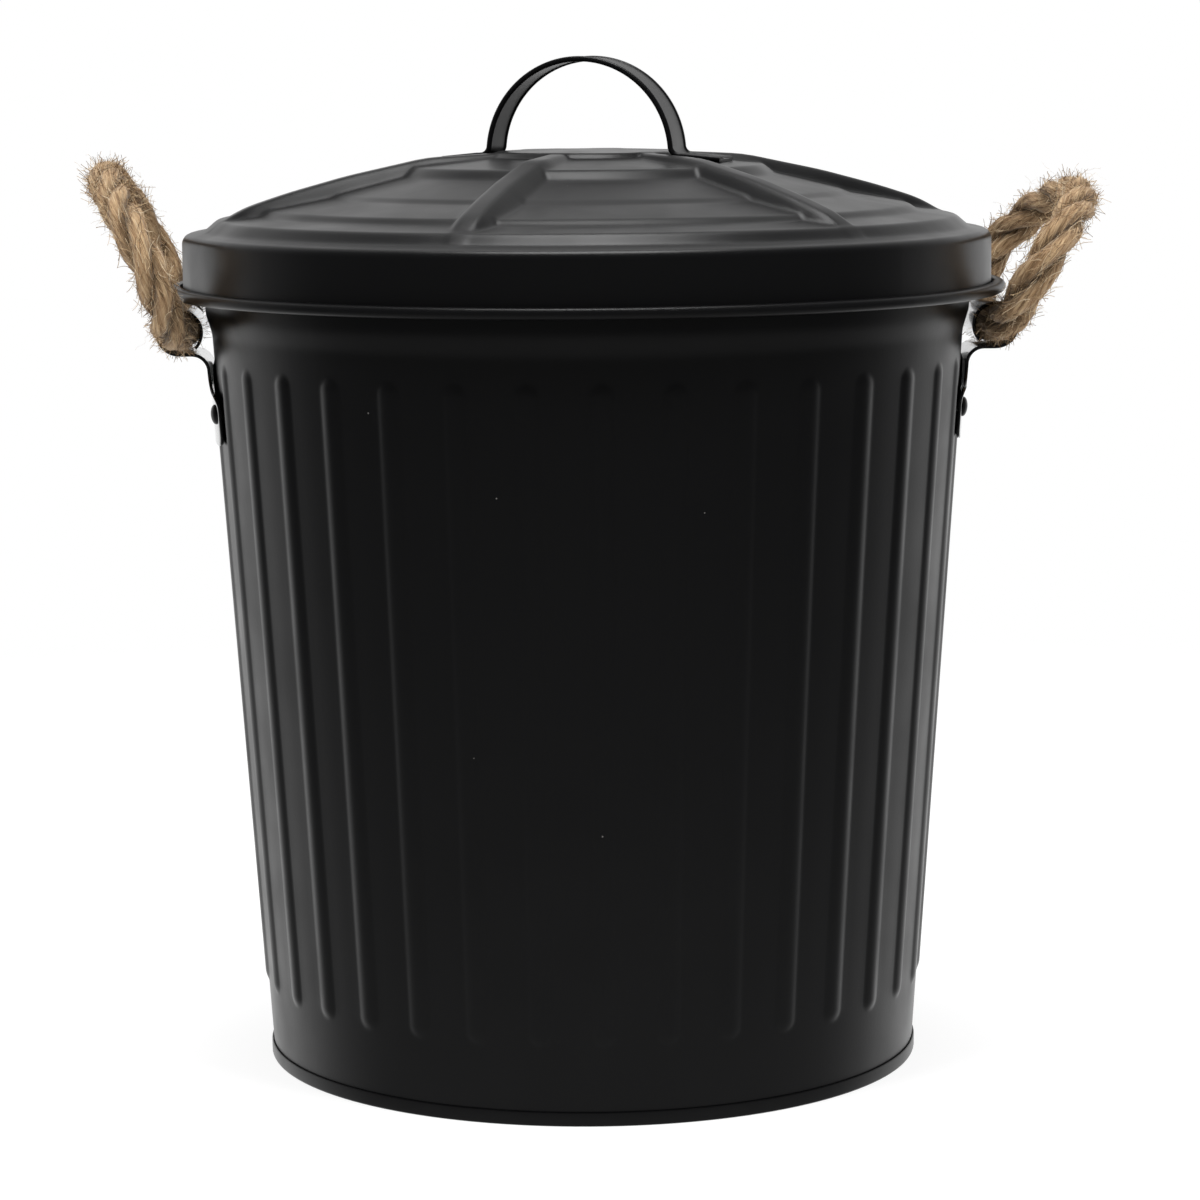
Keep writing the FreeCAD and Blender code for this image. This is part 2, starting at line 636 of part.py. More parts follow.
# The rope handles.  Each rope lies through its eye, where its two ends meet, and
# stands up beside the lid as a loop.  The route is given from the eye's centre.
ROUTES = {
    "right_rope_handle": [
        (0.0, -0.5, 0.0), (0.0, -19.0, 0.0), (1.8, -37.0, 5.0), (7.3, -46.0, 16.5),
        (14.8, -45.5, 28.5), (21.8, -34.0, 36.5), (27.3, -14.0, 41.0), (27.3, 12.0, 41.0),
        (22.8, 32.0, 37.5), (15.3, 45.0, 30.0), (7.3, 50.0, 20.0), (3.3, 47.5, 11.0),
        (0.8, 37.5, 3.5), (0.0, 19.0, 0.0), (0.0, 0.5, 0.0),
    ],
    "left_rope_handle": [
        (0.0, -0.5, 0.0), (0.0, -19.0, 0.0), (-1.3, -38.0, 2.5), (-3.3, -49.0, 14.0),
        (-7.8, -50.0, 26.5), (-14.8, -40.0, 38.0), (-20.8, -21.0, 46.0), (-23.8, 2.0, 49.5),
        (-22.3, 23.0, 46.0), (-18.3, 39.0, 37.5), (-12.3, 47.5, 25.5), (-5.8, 48.5, 13.5),
        (-1.3, 38.0, 3.5), (0.0, 19.0, 0.0), (0.0, 0.5, 0.0),
    ],
}
CORNER_SHARE = 0.45


def rounded_path(points):
    """Straight runs joined by arcs that touch both runs."""
    edges, radii, start = [], [], points[0]
    for before, here, after in zip(points, points[1:], points[2:]):
        back, ahead = before - here, after - here
        reach = CORNER_SHARE * min(back.Length, ahead.Length)
        half_turn = (math.pi - back.getAngle(ahead)) / 2
        radius = reach / math.tan(half_turn)
        radii.append(radius)
        back.normalize()
        ahead.normalize()
        middle = back + ahead
        middle.normalize()
        centre_reach = math.hypot(radius, reach)
        first, last = here + back * reach, here + ahead * reach
        crest = here + middle * (centre_reach - radius)
        edges.append(Part.LineSegment(start, first).toShape())
        edges.append(Part.Arc(first, crest, last).toShape())
        start = last
    edges.append(Part.LineSegment(start, points[-1]).toShape())
    return Part.Wire(edges), radii


def make_rope(label, side):
    eye = Vector(side * value(EYE_X), 0, value("eye_height"))
    points = [eye + Vector(*step) for step in ROUTES[label]]
    path, radii = rounded_path(points)
    radius = value("rope_diameter") / 2
    ring = Part.Wire(Part.Circle(points[0], points[1] - points[0], radius).toShape())
    rope = doc.addObject("Part::Feature", label)
    rope.Label = label
    rope.Shape = path.makePipeShell([ring], True, False)
    wanted = math.pi * radius ** 2 * path.Length
    print(f"{label}: length {path.Length:.1f}, tightest bend {min(radii):.1f}, "
          f"volume {rope.Shape.Volume / wanted:.4f} of section times length")
    print("   bend radii", " ".join(f"{radius:.1f}" for radius in radii))
    return rope


pieces = [
    make_wall(),
    make_base(),
    make_bracket("left_bracket", "180"),
    make_bracket("right_bracket", "0"),
    make_lid(),
    make_handle(),
]
side_grip = "(bracket_sheet + seat_gap + flute_rise + sheet + 2 * seat_gap)"
for label, turn in SIDE_RIVETS.items():
    pieces.append(make_rivet(label, SIDE_AXIS.rivet("side", side_grip), turn))
lid_grip = "(strap_thickness + seat_gap + sheet + 2 * seat_gap)"
for label, turn in LID_RIVETS.items():
    pieces.append(make_rivet(label, LID_AXIS.rivet("lid", lid_grip), turn))
pieces.append(make_rope("left_rope_handle", -1))
pieces.append(make_rope("right_rope_handle", 1))
doc.recompute()

for item in doc.Objects:
    if "Invalid" in item.State or "Error" in item.State:
        raise RuntimeError(f"{item.Name}: {item.State}")
os.makedirs("parts", exist_ok=True)
for piece in pieces:
    shape = piece.Shape
    if shape.isNull() or not shape.isValid() or len(shape.Solids) != 1:
        raise RuntimeError(f"{piece.Label} is not one sound solid")
    shape.exportStep(f"parts/{piece.Label}.step")
    box = shape.optimalBoundingBox()
    print(f"{piece.Label}: volume {shape.Volume:.0f}, x {box.XMin:.2f}..{box.XMax:.2f}, "
          f"y {box.YMin:.2f}..{box.YMax:.2f}, z {box.ZMin:.2f}..{box.ZMax:.2f}")
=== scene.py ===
import math

import bmesh
import bpy
import numpy as np
from mathutils import Matrix, Vector


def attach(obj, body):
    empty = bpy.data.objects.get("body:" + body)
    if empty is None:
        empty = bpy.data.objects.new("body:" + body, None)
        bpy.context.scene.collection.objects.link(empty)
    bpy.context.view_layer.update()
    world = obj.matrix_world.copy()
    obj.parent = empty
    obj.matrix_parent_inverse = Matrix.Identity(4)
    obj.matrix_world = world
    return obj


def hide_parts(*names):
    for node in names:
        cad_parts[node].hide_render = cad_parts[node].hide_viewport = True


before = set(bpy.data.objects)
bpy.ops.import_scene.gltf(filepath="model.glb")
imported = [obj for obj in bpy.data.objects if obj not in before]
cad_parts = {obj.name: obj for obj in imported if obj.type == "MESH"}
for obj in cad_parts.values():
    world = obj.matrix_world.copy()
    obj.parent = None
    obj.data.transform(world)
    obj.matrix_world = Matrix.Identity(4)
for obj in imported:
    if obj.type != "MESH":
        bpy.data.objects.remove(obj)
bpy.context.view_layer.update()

# The camera stands in front of the pail and a little above it, as a product shot is
# taken: a long lens, looking slightly down, turned a touch off the brackets' line.
CAMERA_PLACE = Vector((-0.0427, -1.2873, 0.33025))
CAMERA_LENS = 119.08
CAMERA_HEADING, CAMERA_PITCH, CAMERA_ROLL = (math.radians(a) for a in (2.05, 8.0495, -0.4356))

camera_data = bpy.data.cameras.new("camera")
camera_data.sensor_fit = "HORIZONTAL"
camera_data.sensor_width = 36.0
camera_data.lens = CAMERA_LENS
camera = bpy.data.objects.new("camera", camera_data)
camera.matrix_world = (
    Matrix.Translation(CAMERA_PLACE)
    @ Matrix.Rotation(-CAMERA_HEADING, 4, "Z")
    @ Matrix.Rotation(math.pi / 2 - CAMERA_PITCH, 4, "X")
    @ Matrix.Rotation(CAMERA_ROLL, 4, "Z")
)
bpy.context.collection.objects.link(camera)
bpy.context.scene.camera = camera
bpy.context.scene.view_settings.view_transform = "Standard"


# The rope handles: natural jute rope of three strands, 12.5 mm thick.  Each lies
# through its bracket's eye, where its two cut ends are pushed together, and stands up
# beside the lid as a stiff loop.
EYE = Vector((0.1312, 0.0, 0.238))
ROPE_ROUTES = {
    "right": (1, [
        (0.0, -0.0005, 0.0), (0.0, -0.019, 0.0), (0.0018, -0.037, 0.005),
        (0.0073, -0.046, 0.0165), (0.0148, -0.0455, 0.0285), (0.0218, -0.034, 0.0365),
        (0.0273, -0.014, 0.041), (0.0273, 0.012, 0.041), (0.0228, 0.032, 0.0375),
        (0.0153, 0.045, 0.030), (0.0073, 0.050, 0.020), (0.0033, 0.0475, 0.011),
        (0.0008, 0.0375, 0.0035), (0.0, 0.019, 0.0), (0.0, 0.0005, 0.0),
    ]),
    "left": (-1, [
        (0.0, -0.0005, 0.0), (0.0, -0.019, 0.0), (-0.0013, -0.038, 0.0025),
        (-0.0033, -0.049, 0.014), (-0.0078, -0.050, 0.0265), (-0.0148, -0.040, 0.038),
        (-0.0208, -0.021, 0.046), (-0.0238, 0.002, 0.0495), (-0.0223, 0.023, 0.046),
        (-0.0183, 0.039, 0.0375), (-0.0123, 0.0475, 0.0255), (-0.0058, 0.0485, 0.0135),
        (-0.0013, 0.038, 0.0035), (0.0, 0.019, 0.0), (0.0, 0.0005, 0.0),
    ]),
}
ROPE_LAY_LENGTH = 0.052
STRANDS = 3
STRAND_RADIUS, STRAND_OFFSET = 0.0030, 0.0029
# Hand-laid rope is uneven: the strands wander, swell and stand in or out a little.
LAY_WANDER, STRAND_SWELL, OFFSET_SWELL = 0.25, 0.06, 0.06
YARNS, YARN_TWIST, YARN_SPREAD = 8, 0.7, 0.35
YARN_HOLLOW, YARN_RELIEF, FIBRE_RELIEF = 0.88, 0.17, 0.05
RING_STEP, RING_POINTS = 0.0009, 36


def link(name, mesh):
    piece = bpy.data.objects.new(name, mesh)
    bpy.context.collection.objects.link(piece)
    return piece


def plain_mesh(piece):
    """The piece as one plain mesh, with its modifiers applied and taken off."""
    ready = piece.evaluated_get(bpy.context.evaluated_depsgraph_get())
    mesh = bpy.data.meshes.new_from_object(ready)
    mesh.name = piece.name
    finished = link(piece.name + "_finished", mesh)
    name = piece.name
    bpy.data.objects.remove(piece)
    finished.name = name
    return finished


def rope_line(side, route):
    """The rope's centre line: points along the NURBS curve that the route controls."""
    curve = bpy.data.curves.new("rope_line", "CURVE")
    curve.dimensions = "3D"
    curve.resolution_u = 24
    spline = curve.splines.new("NURBS")
    spline.points.add(len(route) - 1)
    start = Vector((side * EYE.x, EYE.y, EYE.z))
    for point, step in zip(spline.points, route):
        point.co = (*(start + Vector(step)), 1.0)
    spline.order_u = 3
    spline.use_endpoint_u = True
    line = link("rope_line", curve)
    ready = line.evaluated_get(bpy.context.evaluated_depsgraph_get())
    mesh = bpy.data.meshes.new_from_object(ready)
    points = np.array([vertex.co[:] for vertex in mesh.vertices])
    bpy.data.objects.remove(line)
    bpy.data.meshes.remove(mesh)
    along = np.concatenate([[0], np.cumsum(np.linalg.norm(np.diff(points, axis=0), axis=1))])
    steps = np.linspace(0, along[-1], int(along[-1] / RING_STEP) + 1)
    return steps, np.stack([np.interp(steps, along, points[:, axis]) for axis in range(3)], 1)


def carried_frame(points):
    """Tangent and two cross directions at each point, carried along without twist."""
    tangents = np.gradient(points, axis=0)
    tangents /= np.linalg.norm(tangents, axis=1)[:, None]
    across = np.cross(tangents[0], (0.0, 0.0, 1.0))
    normals = []
    for tangent in tangents:
        across = across - tangent * (across @ tangent)
        across = across / np.linalg.norm(across)
        normals.append(across)
    normals = np.array(normals)
    return tangents, normals, np.cross(tangents, normals)


def smooth_noise(random, count, period):
    """A smooth random wave from -1 to 1 over count samples."""
    knots = random.uniform(-1, 1, int(count / period) + 4)
    place = np.arange(count) / period
    left = place.astype(int)
    blend = place - left
    blend = blend * blend * (3 - 2 * blend)
    return knots[left] * (1 - blend) + knots[left + 1] * blend


def rope_strands(name, steps, points, random):
    """The three laid strands as one mesh, each a lumpy bundle of yarns."""
    tangents, normals, others = carried_frame(points)
    around = np.linspace(0, 2 * math.pi, RING_POINTS, endpoint=False)
    vertices, faces, uvs, depth, lay = [], [], [], [], []
    for strand in range(STRANDS):
        turn = 2 * math.pi * (steps / ROPE_LAY_LENGTH + strand / STRANDS)
        turn = turn + LAY_WANDER * smooth_noise(random, len(steps), 18)
        swell = 1 + STRAND_SWELL * smooth_noise(random, len(steps), 12)
        offset = STRAND_OFFSET * (1 + OFFSET_SWELL * smooth_noise(random, len(steps), 15))
        twist = YARN_TWIST * turn
        yarn_size = 1 + YARN_SPREAD * random.uniform(-1, 1, YARNS)
        fibres = np.stack([smooth_noise(random, len(steps), 5) for _ in around], 1)
        base = len(vertices)
        rings = []
        for index in range(len(steps)):
            yarn = (around + twist[index]) * YARNS / (2 * math.pi)
            lobe = np.abs(np.sin(math.pi * yarn))
            size = yarn_size[np.floor(yarn).astype(int) % YARNS]
            relief = YARN_HOLLOW + YARN_RELIEF * size * lobe ** 0.7 + FIBRE_RELIEF * fibres[index]
            radius = STRAND_RADIUS * swell[index] * relief
            x = offset[index] * math.cos(turn[index]) + radius * np.cos(around)
            y = offset[index] * math.sin(turn[index]) + radius * np.sin(around)
            ring = points[index] + np.outer(x, normals[index]) + np.outer(y, others[index])
            rings.append(ring)
            # How far each point stands from the rope's middle; the jute's colour is darkened by it as
            # painted shade in the grooves.
            depth.extend(np.hypot(x, y) / (STRAND_OFFSET + STRAND_RADIUS))
        rings = np.array(rings)
        count, size = rings.shape[:2]
        vertices.extend(rings.reshape(-1, 3))
        lay.extend(np.gradient(rings, axis=0).reshape(-1, 3))
        for index in range(count - 1):
            for spoke in range(size):
                after = (spoke + 1) % size
                faces.append((base + index * size + spoke, base + index * size + after,
                              base + (index + 1) * size + after, base + (index + 1) * size + spoke))
                edge = [(index, spoke), (index, spoke + 1), (index + 1, spoke + 1), (index + 1, spoke)]
                for row, column in edge:
                    angle = 2 * math.pi * column / size + twist[row]
                    # Each strand has its own stretch of the fibre pattern.
                    uvs.append((steps[row] + 0.3 * strand, angle * STRAND_RADIUS + 0.1 * strand))
        last = base + (count - 1) * size
        for end in ([base + spoke for spoke in reversed(range(size))],
                    [last + spoke for spoke in range(size)]):
            faces.append(tuple(end))
            uvs.extend([(0.0, 0.0)] * size)
    mesh = bpy.data.meshes.new(name)
    mesh.from_pydata([tuple(v) for v in vertices], [], faces)
    mesh.update()
    mesh.uv_layers.new(name="fibre").data.foreach_set("uv", np.array(uvs).ravel())
    mesh.attributes.new("depth", "FLOAT", "POINT").data.foreach_set("value", np.array(depth))
    mesh.attributes.new("lay", "FLOAT_VECTOR", "POINT").data.foreach_set("vector", np.array(lay).ravel())
    mesh.shade_smooth()
    return link(name, mesh)


def node_adder(owner):
    """The node tree of a material or the world, and a way to add nodes to it."""
    tree = owner.node_tree

    def add(kind, links=(), **settings):
        node = tree.nodes.new("ShaderNode" + kind)
        for key, setting in settings.items():
            setattr(node, key, setting)
        for socket, source in dict(links).items():
            if isinstance(source, bpy.types.NodeSocket):
                tree.links.new(source, node.inputs[socket])
            else:
                node.inputs[socket].default_value = source
        return node

    return tree, add


def shader(name):
    """A new material with its node tree, its shader and a way to add nodes."""
    material = bpy.data.materials.new(name)
    material.use_nodes = True
    tree, add = node_adder(material)
    return material, tree, tree.nodes["Principled BSDF"], add


def colour_ramp(add, source, stops):
    ramp = add("ValToRGB", {0: source})
    while len(ramp.color_ramp.elements) < len(stops):
        ramp.color_ramp.elements.new(0.5)
    for element, (place, colour) in zip(ramp.color_ramp.elements, stops):
        element.position = place
        element.color = (*colour, 1.0)
    return ramp.outputs["Color"]


JUTE_DARK, JUTE_BROWN = (0.075, 0.042, 0.020), (0.28, 0.168, 0.084)
JUTE_TAN, JUTE_STRAW = (0.47, 0.32, 0.18), (0.66, 0.49, 0.30)
JUTE_PALE = (0.80, 0.68, 0.50)


def jute_material():
    """Coarse dry fibres: streaks of straw and brown along the yarns, with painted shade darkening the
    grooves between them.
    """
    material, tree, surface, add = shader("jute")
    fibre = add("UVMap", uv_map="fibre").outputs["UV"]
    streaks = add("Mapping", {"Vector": fibre, "Scale": (260.0, 5200.0, 1.0)}).outputs["Vector"]
    broad = add("Mapping", {"Vector": fibre, "Scale": (60.0, 900.0, 1.0)}).outputs["Vector"]
    fine = add("TexNoise", {"Vector": streaks, "Scale": 1.0, "Detail": 3.0}).outputs["Fac"]
    wide = add("TexNoise", {"Vector": broad, "Scale": 1.0, "Detail": 2.0}).outputs["Fac"]
    tone = add("Math", {0: fine, 1: wide}, operation="ADD").outputs[0]
    tone = add("Math", {0: tone, 1: 0.5}, operation="MULTIPLY").outputs[0]
    colour = colour_ramp(add, tone, [
        (0.30, JUTE_DARK), (0.44, JUTE_BROWN), (0.54, JUTE_TAN), (0.70, JUTE_STRAW)])
    # Painted shade: the colour darkens toward the rope's middle, in the grooves between the strands and
    # yarns.
    deep = add("Attribute", attribute_name="depth").outputs["Fac"]
    shade = add("MapRange", {"Value": deep, "From Min": 0.62, "From Max": 0.95,
                             "To Min": 0.4, "To Max": 1.0}).outputs["Result"]
    mixed = add("Mix", {"Factor": 1.0}, data_type="RGBA", blend_type="MULTIPLY")
    tree.links.new(colour, mixed.inputs[6])
    tree.links.new(shade, mixed.inputs[7])
    tree.links.new(mixed.outputs[2], surface.inputs["Base Color"])
    bump = add("Bump", {"Height": tone, "Strength": 0.9, "Distance": 0.0006})
    tree.links.new(bump.outputs["Normal"], surface.inputs["Normal"])
    surface.inputs["Roughness"].default_value = 0.92
    surface.inputs["Specular IOR Level"].default_value = 0.2
    surface.inputs["Sheen Weight"].default_value = 0.25
    return material


def loose_fibre_material():
    """Single jute fibres that stand off the rope, in random tones of their own; the paler tones also stand
    for light shining through the thin fibres, painted into the colour.
    """
    material, tree, surface, add = shader("loose_jute_fibre")
    tone = add("Attribute", attribute_name="tone").outputs["Fac"]
    colour = colour_ramp(add, tone, [
        (0.0, JUTE_DARK), (0.3, JUTE_BROWN), (0.6, JUTE_TAN), (0.85, JUTE_STRAW), (1.0, JUTE_PALE)])
    tree.links.new(colour, surface.inputs["Base Color"])
    surface.inputs["Roughness"].default_value = 0.8
    return material


class NodeTools:
    """A geometry node tree under construction, with named inputs for its sizes."""

    def __init__(self, name):
        self.tree = bpy.data.node_groups.new(name, "GeometryNodeTree")
        self.tree.interface.new_socket(name="Geometry", in_out="INPUT", socket_type="NodeSocketGeometry")
        self.tree.interface.new_socket(name="Geometry", in_out="OUTPUT", socket_type="NodeSocketGeometry")
        self.entry = self.tree.nodes.new("NodeGroupInput")
        self.exit = self.tree.nodes.new("NodeGroupOutput")

    def size(self, name, kind="NodeSocketFloat"):
        self.tree.interface.new_socket(name=name, in_out="INPUT", socket_type=kind)
        return self.entry.outputs[name]

    def add(self, kind, links=(), **settings):
        node = self.tree.nodes.new(kind)
        for key, setting in settings.items():
            setattr(node, key, setting)
        for socket, source in dict(links).items():
            if isinstance(source, bpy.types.NodeSocket):
                self.tree.links.new(source, node.inputs[socket])
            else:
                node.inputs[socket].default_value = source
        return node

    def math(self, operation, first, second):
        return self.add("ShaderNodeMath", {0: first, 1: second}, operation=operation).outputs[0]

    def finish(self, geometry, material):
        real = self.add("GeometryNodeRealizeInstances", {0: geometry}).outputs[0]
        coated = self.add("GeometryNodeSetMaterial", {"Geometry": real, "Material": material})
        self.tree.links.new(coated.outputs[0], self.exit.inputs["Geometry"])
        return self.tree


def put_through(piece, tree, **sizes):
    """Give the piece the tree, with its sizes set by the sockets' identifiers."""
    modifier = piece.modifiers.new(tree.name, "NODES")
    modifier.node_group = tree
    for socket in tree.interface.items_tree:
        if socket.in_out == "INPUT" and socket.name in sizes:
            modifier[socket.identifier] = sizes[socket.name]
    return piece


def fuzz_tree(material):
    """Loose fibres scattered over the strands: each starts along the lay, lifts off it
    and wanders as it goes."""
    tools = NodeTools("loose_fibres")
    density = tools.size("Density")
    length = tools.size("Length")
    thickness = tools.size("Thickness")
    lift = tools.size("Lift")
    scatter = tools.size("Scatter")
    curl = tools.size("Curl")
    pale = tools.size("Pale")
    seed = tools.size("Seed", "NodeSocketInt")
    spread = tools.add("GeometryNodeDistributePointsOnFaces",
                       {"Mesh": tools.entry.outputs["Geometry"], "Density": density, "Seed": seed})
    lay = tools.add("GeometryNodeInputNamedAttribute", {"Name": "lay"}, data_type="FLOAT_VECTOR")
    along = tools.add("ShaderNodeVectorMath", {0: lay.outputs["Attribute"]}, operation="NORMALIZE")
    sign = tools.add("FunctionNodeRandomValue", {"Min": -1.0, "Max": 1.0, "Seed": 3}, data_type="FLOAT")
    sign = tools.add("ShaderNodeMath", {0: sign.outputs[1]}, operation="SIGN").outputs[0]
    along = tools.add("ShaderNodeVectorMath", {0: along.outputs[0], "Scale": sign}, operation="SCALE")
    rise = tools.add("FunctionNodeRandomValue", {"Min": 0.02, "Seed": 4}, data_type="FLOAT")
    tools.tree.links.new(lift, rise.inputs[3])
    out = tools.add("ShaderNodeVectorMath", {0: spread.outputs["Normal"], "Scale": rise.outputs[1]},
                    operation="SCALE")
    stray = tools.add("FunctionNodeRandomValue", {"Min": (-1.0,) * 3, "Max": (1.0,) * 3, "Seed": 5},
                      data_type="FLOAT_VECTOR")
    stray = tools.add("ShaderNodeVectorMath", {0: stray.outputs[0], "Scale": scatter}, operation="SCALE")
    heading = tools.add("ShaderNodeVectorMath", {0: along.outputs[0], 1: out.outputs[0]}, operation="ADD")
    heading = tools.add("ShaderNodeVectorMath", {0: heading.outputs[0], 1: stray.outputs[0]},
                        operation="ADD")
    turn = tools.add("FunctionNodeAlignRotationToVector", {"Vector": heading.outputs[0]}, axis="Z")
    roll = tools.add("FunctionNodeRandomValue", {"Min": 0.0, "Max": 6.283, "Seed": 6}, data_type="FLOAT")
    spin = tools.add("ShaderNodeCombineXYZ", {"Z": roll.outputs[1]})
    turn = tools.add("FunctionNodeRotateRotation",
                     {"Rotation": turn.outputs[0], "Rotate By": spin.outputs[0]}, rotation_space="LOCAL")
    # One bowed hair of about unit length, with its root a little under the surface.
    bow = tools.add("GeometryNodeCurveQuadraticBezier",
                    {"Resolution": 6, "Start": (0, 0, -0.12), "Middle": (0.0, 0.0, 0.55),
                     "End": (0.38, 0.0, 0.95)})
    section = tools.add("GeometryNodeCurvePrimitiveCircle",
                        {"Resolution": 3, "Radius": tools.math("DIVIDE", thickness, length)},
                        mode="RADIUS")
    fibre = tools.add("GeometryNodeCurveToMesh",
                      {"Curve": bow.outputs[0], "Profile Curve": section.outputs[0]})
    stretch = tools.add("FunctionNodeRandomValue", {"Min": (0.7, 0.9, 0.3), "Max": (1.6, 1.1, 1.5),
                                                    "Seed": 7}, data_type="FLOAT_VECTOR")
    scale = tools.add("ShaderNodeVectorMath", {0: stretch.outputs[0], "Scale": length}, operation="SCALE")
    hairs = tools.add("GeometryNodeInstanceOnPoints",
                      {"Points": spread.outputs["Points"], "Instance": fibre.outputs[0],
                       "Rotation": turn.outputs[0], "Scale": scale.outputs[0]})
    # Each hair gets a random tone from Pale up to the palest; the paler tones are partly painted light, as
    # if lit through.
    tone = tools.add("FunctionNodeRandomValue", {"Max": 1.0, "Seed": 8}, data_type="FLOAT")
    tools.tree.links.new(pale, tone.inputs[2])
    hairs = tools.add("GeometryNodeStoreNamedAttribute",
                      {"Geometry": hairs.outputs[0], "Name": "tone", "Value": tone.outputs[1]},
                      data_type="FLOAT", domain="INSTANCE")
    hairs = tools.add("GeometryNodeRealizeInstances", {0: hairs.outputs[0]})
    wander = tools.add("ShaderNodeTexNoise", {"Scale": 230.0, "Detail": 1.0})
    wander = tools.add("ShaderNodeVectorMath", {0: wander.outputs["Color"], 1: (0.5, 0.5, 0.5)},
                       operation="SUBTRACT")
    wander = tools.add("ShaderNodeVectorMath", {0: wander.outputs[0], "Scale": curl}, operation="SCALE")
    hairs = tools.add("GeometryNodeSetPosition",
                      {"Geometry": hairs.outputs[0], "Offset": wander.outputs[0]})
    return tools.finish(hairs.outputs[0], material)


jute = jute_material()
fibre_tree = fuzz_tree(loose_fibre_material())
# Flat fibres lie along the strands, short fuzz lifts off them and a few long hairs stray. The fuzz and the
# strays keep to the paler tones, painted light for the light through thin fibres.
FIBRES = {
    "fibres": dict(Density=330000.0, Length=0.0055, Thickness=0.00008, Lift=0.05, Scatter=0.12,
                   Curl=0.0006, Pale=0.0),
    "fuzz": dict(Density=240000.0, Length=0.0034, Thickness=0.00002, Lift=0.32, Scatter=0.5,
                 Curl=0.0035, Pale=0.5),
    "strays": dict(Density=12000.0, Length=0.0070, Thickness=0.00002, Lift=0.6, Scatter=0.9,
                   Curl=0.009, Pale=0.5),
}
for number, (side_name, (side, route)) in enumerate(ROPE_ROUTES.items()):
    rope_random = np.random.default_rng(40 + number)
    steps, line = rope_line(side, route)
    rope = rope_strands(f"{side_name}_rope", steps, line, rope_random)
    rope.data.materials.append(jute)
    loose = []
    for layer, (kind, sizes) in enumerate(FIBRES.items()):
        hairs = link(f"{side_name}_rope_{kind}", rope.data.copy())
        put_through(hairs, fibre_tree, Seed=7 + 10 * layer + number, **sizes)
        loose.append(plain_mesh(hairs))
    for piece in (rope, *loose):
        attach(piece, f"{side_name}_rope")
    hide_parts(f"{side_name}_rope_handle")


# The can's wall: thin steel sheet, rolled to a taper, pressed into long flutes, stepped
# out to a neck and curled over at the top, then coated satin black inside and out.  One
# flute's width of it is made here and repeated round the can.
MM = 0.001
SHEET = 0.6
FLUTES = 34
FLUTE_HALF_WIDTH, FLUTE_RISE, FLUTE_SOFTNESS = 3.75, 0.9, 0.03
FLUTE_LOW, FLUTE_HIGH = 25.0, 229.0
WALL_FOOT_RADIUS, WALL_TAPER = 105.4, 0.0669
WALL_LOW, STEP_LOW, STEP_HIGH, RIM_HEIGHT = 0.9, 237.4, 243.8, 266.1
NECK_RADIUS, RIM_CURL = 123.3, 2.6
# The strip of wall on both sides of a flute's middle that is meshed finely enough for it.
FLUTE_STRIP, STRIP_RADIUS = 4.8, 115.0
STEP_EASE = 2.2


def surface_strip(name, rows, flip=False):
    """A sheet's face from rows of points in millimetres: rows[row, column] = x, y, z."""
    rows = np.asarray(rows) * MM
    count, width = rows.shape[:2]
    faces = []
    for row in range(count - 1):
        for column in range(width - 1):
            corner = row * width + column
            face = (corner, corner + 1, corner + width + 1, corner + width)
            faces.append(face[::-1] if flip else face)
    mesh = bpy.data.meshes.new(name)
    mesh.from_pydata([tuple(point) for point in rows.reshape(-1, 3)], [], faces)
    return link(name, mesh)


def repeat_tree():
    """The same section of a round piece, repeated round the can's axis and joined."""
    tools = NodeTools("repeat_round")
    count = tools.size("Count", "NodeSocketInt")
    material = tools.size("Material", "NodeSocketMaterial")
    places = tools.add("GeometryNodeMeshLine", {"Count": count, "Offset": (0.0, 0.0, 0.0)})
    step = tools.math("DIVIDE", 2 * math.pi, count)
    angle = tools.math("MULTIPLY", tools.add("GeometryNodeInputIndex").outputs[0], step)
    turn = tools.add("ShaderNodeCombineXYZ", {"Z": angle})
    copies = tools.add("GeometryNodeInstanceOnPoints",
                       {"Points": places.outputs[0], "Instance": tools.entry.outputs["Geometry"],
                        "Rotation": turn.outputs[0]})
    whole = tools.add("GeometryNodeRealizeInstances", {0: copies.outputs[0]})
    joined = tools.add("GeometryNodeMergeByDistance", {"Geometry": whole.outputs[0], "Distance": 2e-6})
    smooth = tools.add("GeometryNodeSetShadeSmooth", {"Geometry": joined.outputs[0]})
    return tools.finish(smooth.outputs[0], material)


round_tree = repeat_tree()


def round_piece(section, count, material, thickness=None, turn=0.0):
    """The finished round piece: its section repeated, and given the sheet's thickness."""
    put_through(section, round_tree, Count=count, Material=material)
    if thickness:
        wall = section.modifiers.new("sheet", "SOLIDIFY")
        wall.thickness = thickness * MM
        wall.offset = -1.0
        wall.use_even_offset = True
    piece = plain_mesh(section)
    piece.data.transform(Matrix.Rotation(math.radians(turn), 4, "Z"))
    return piece


BLACK_COAT = (0.0038, 0.0038, 0.0042)


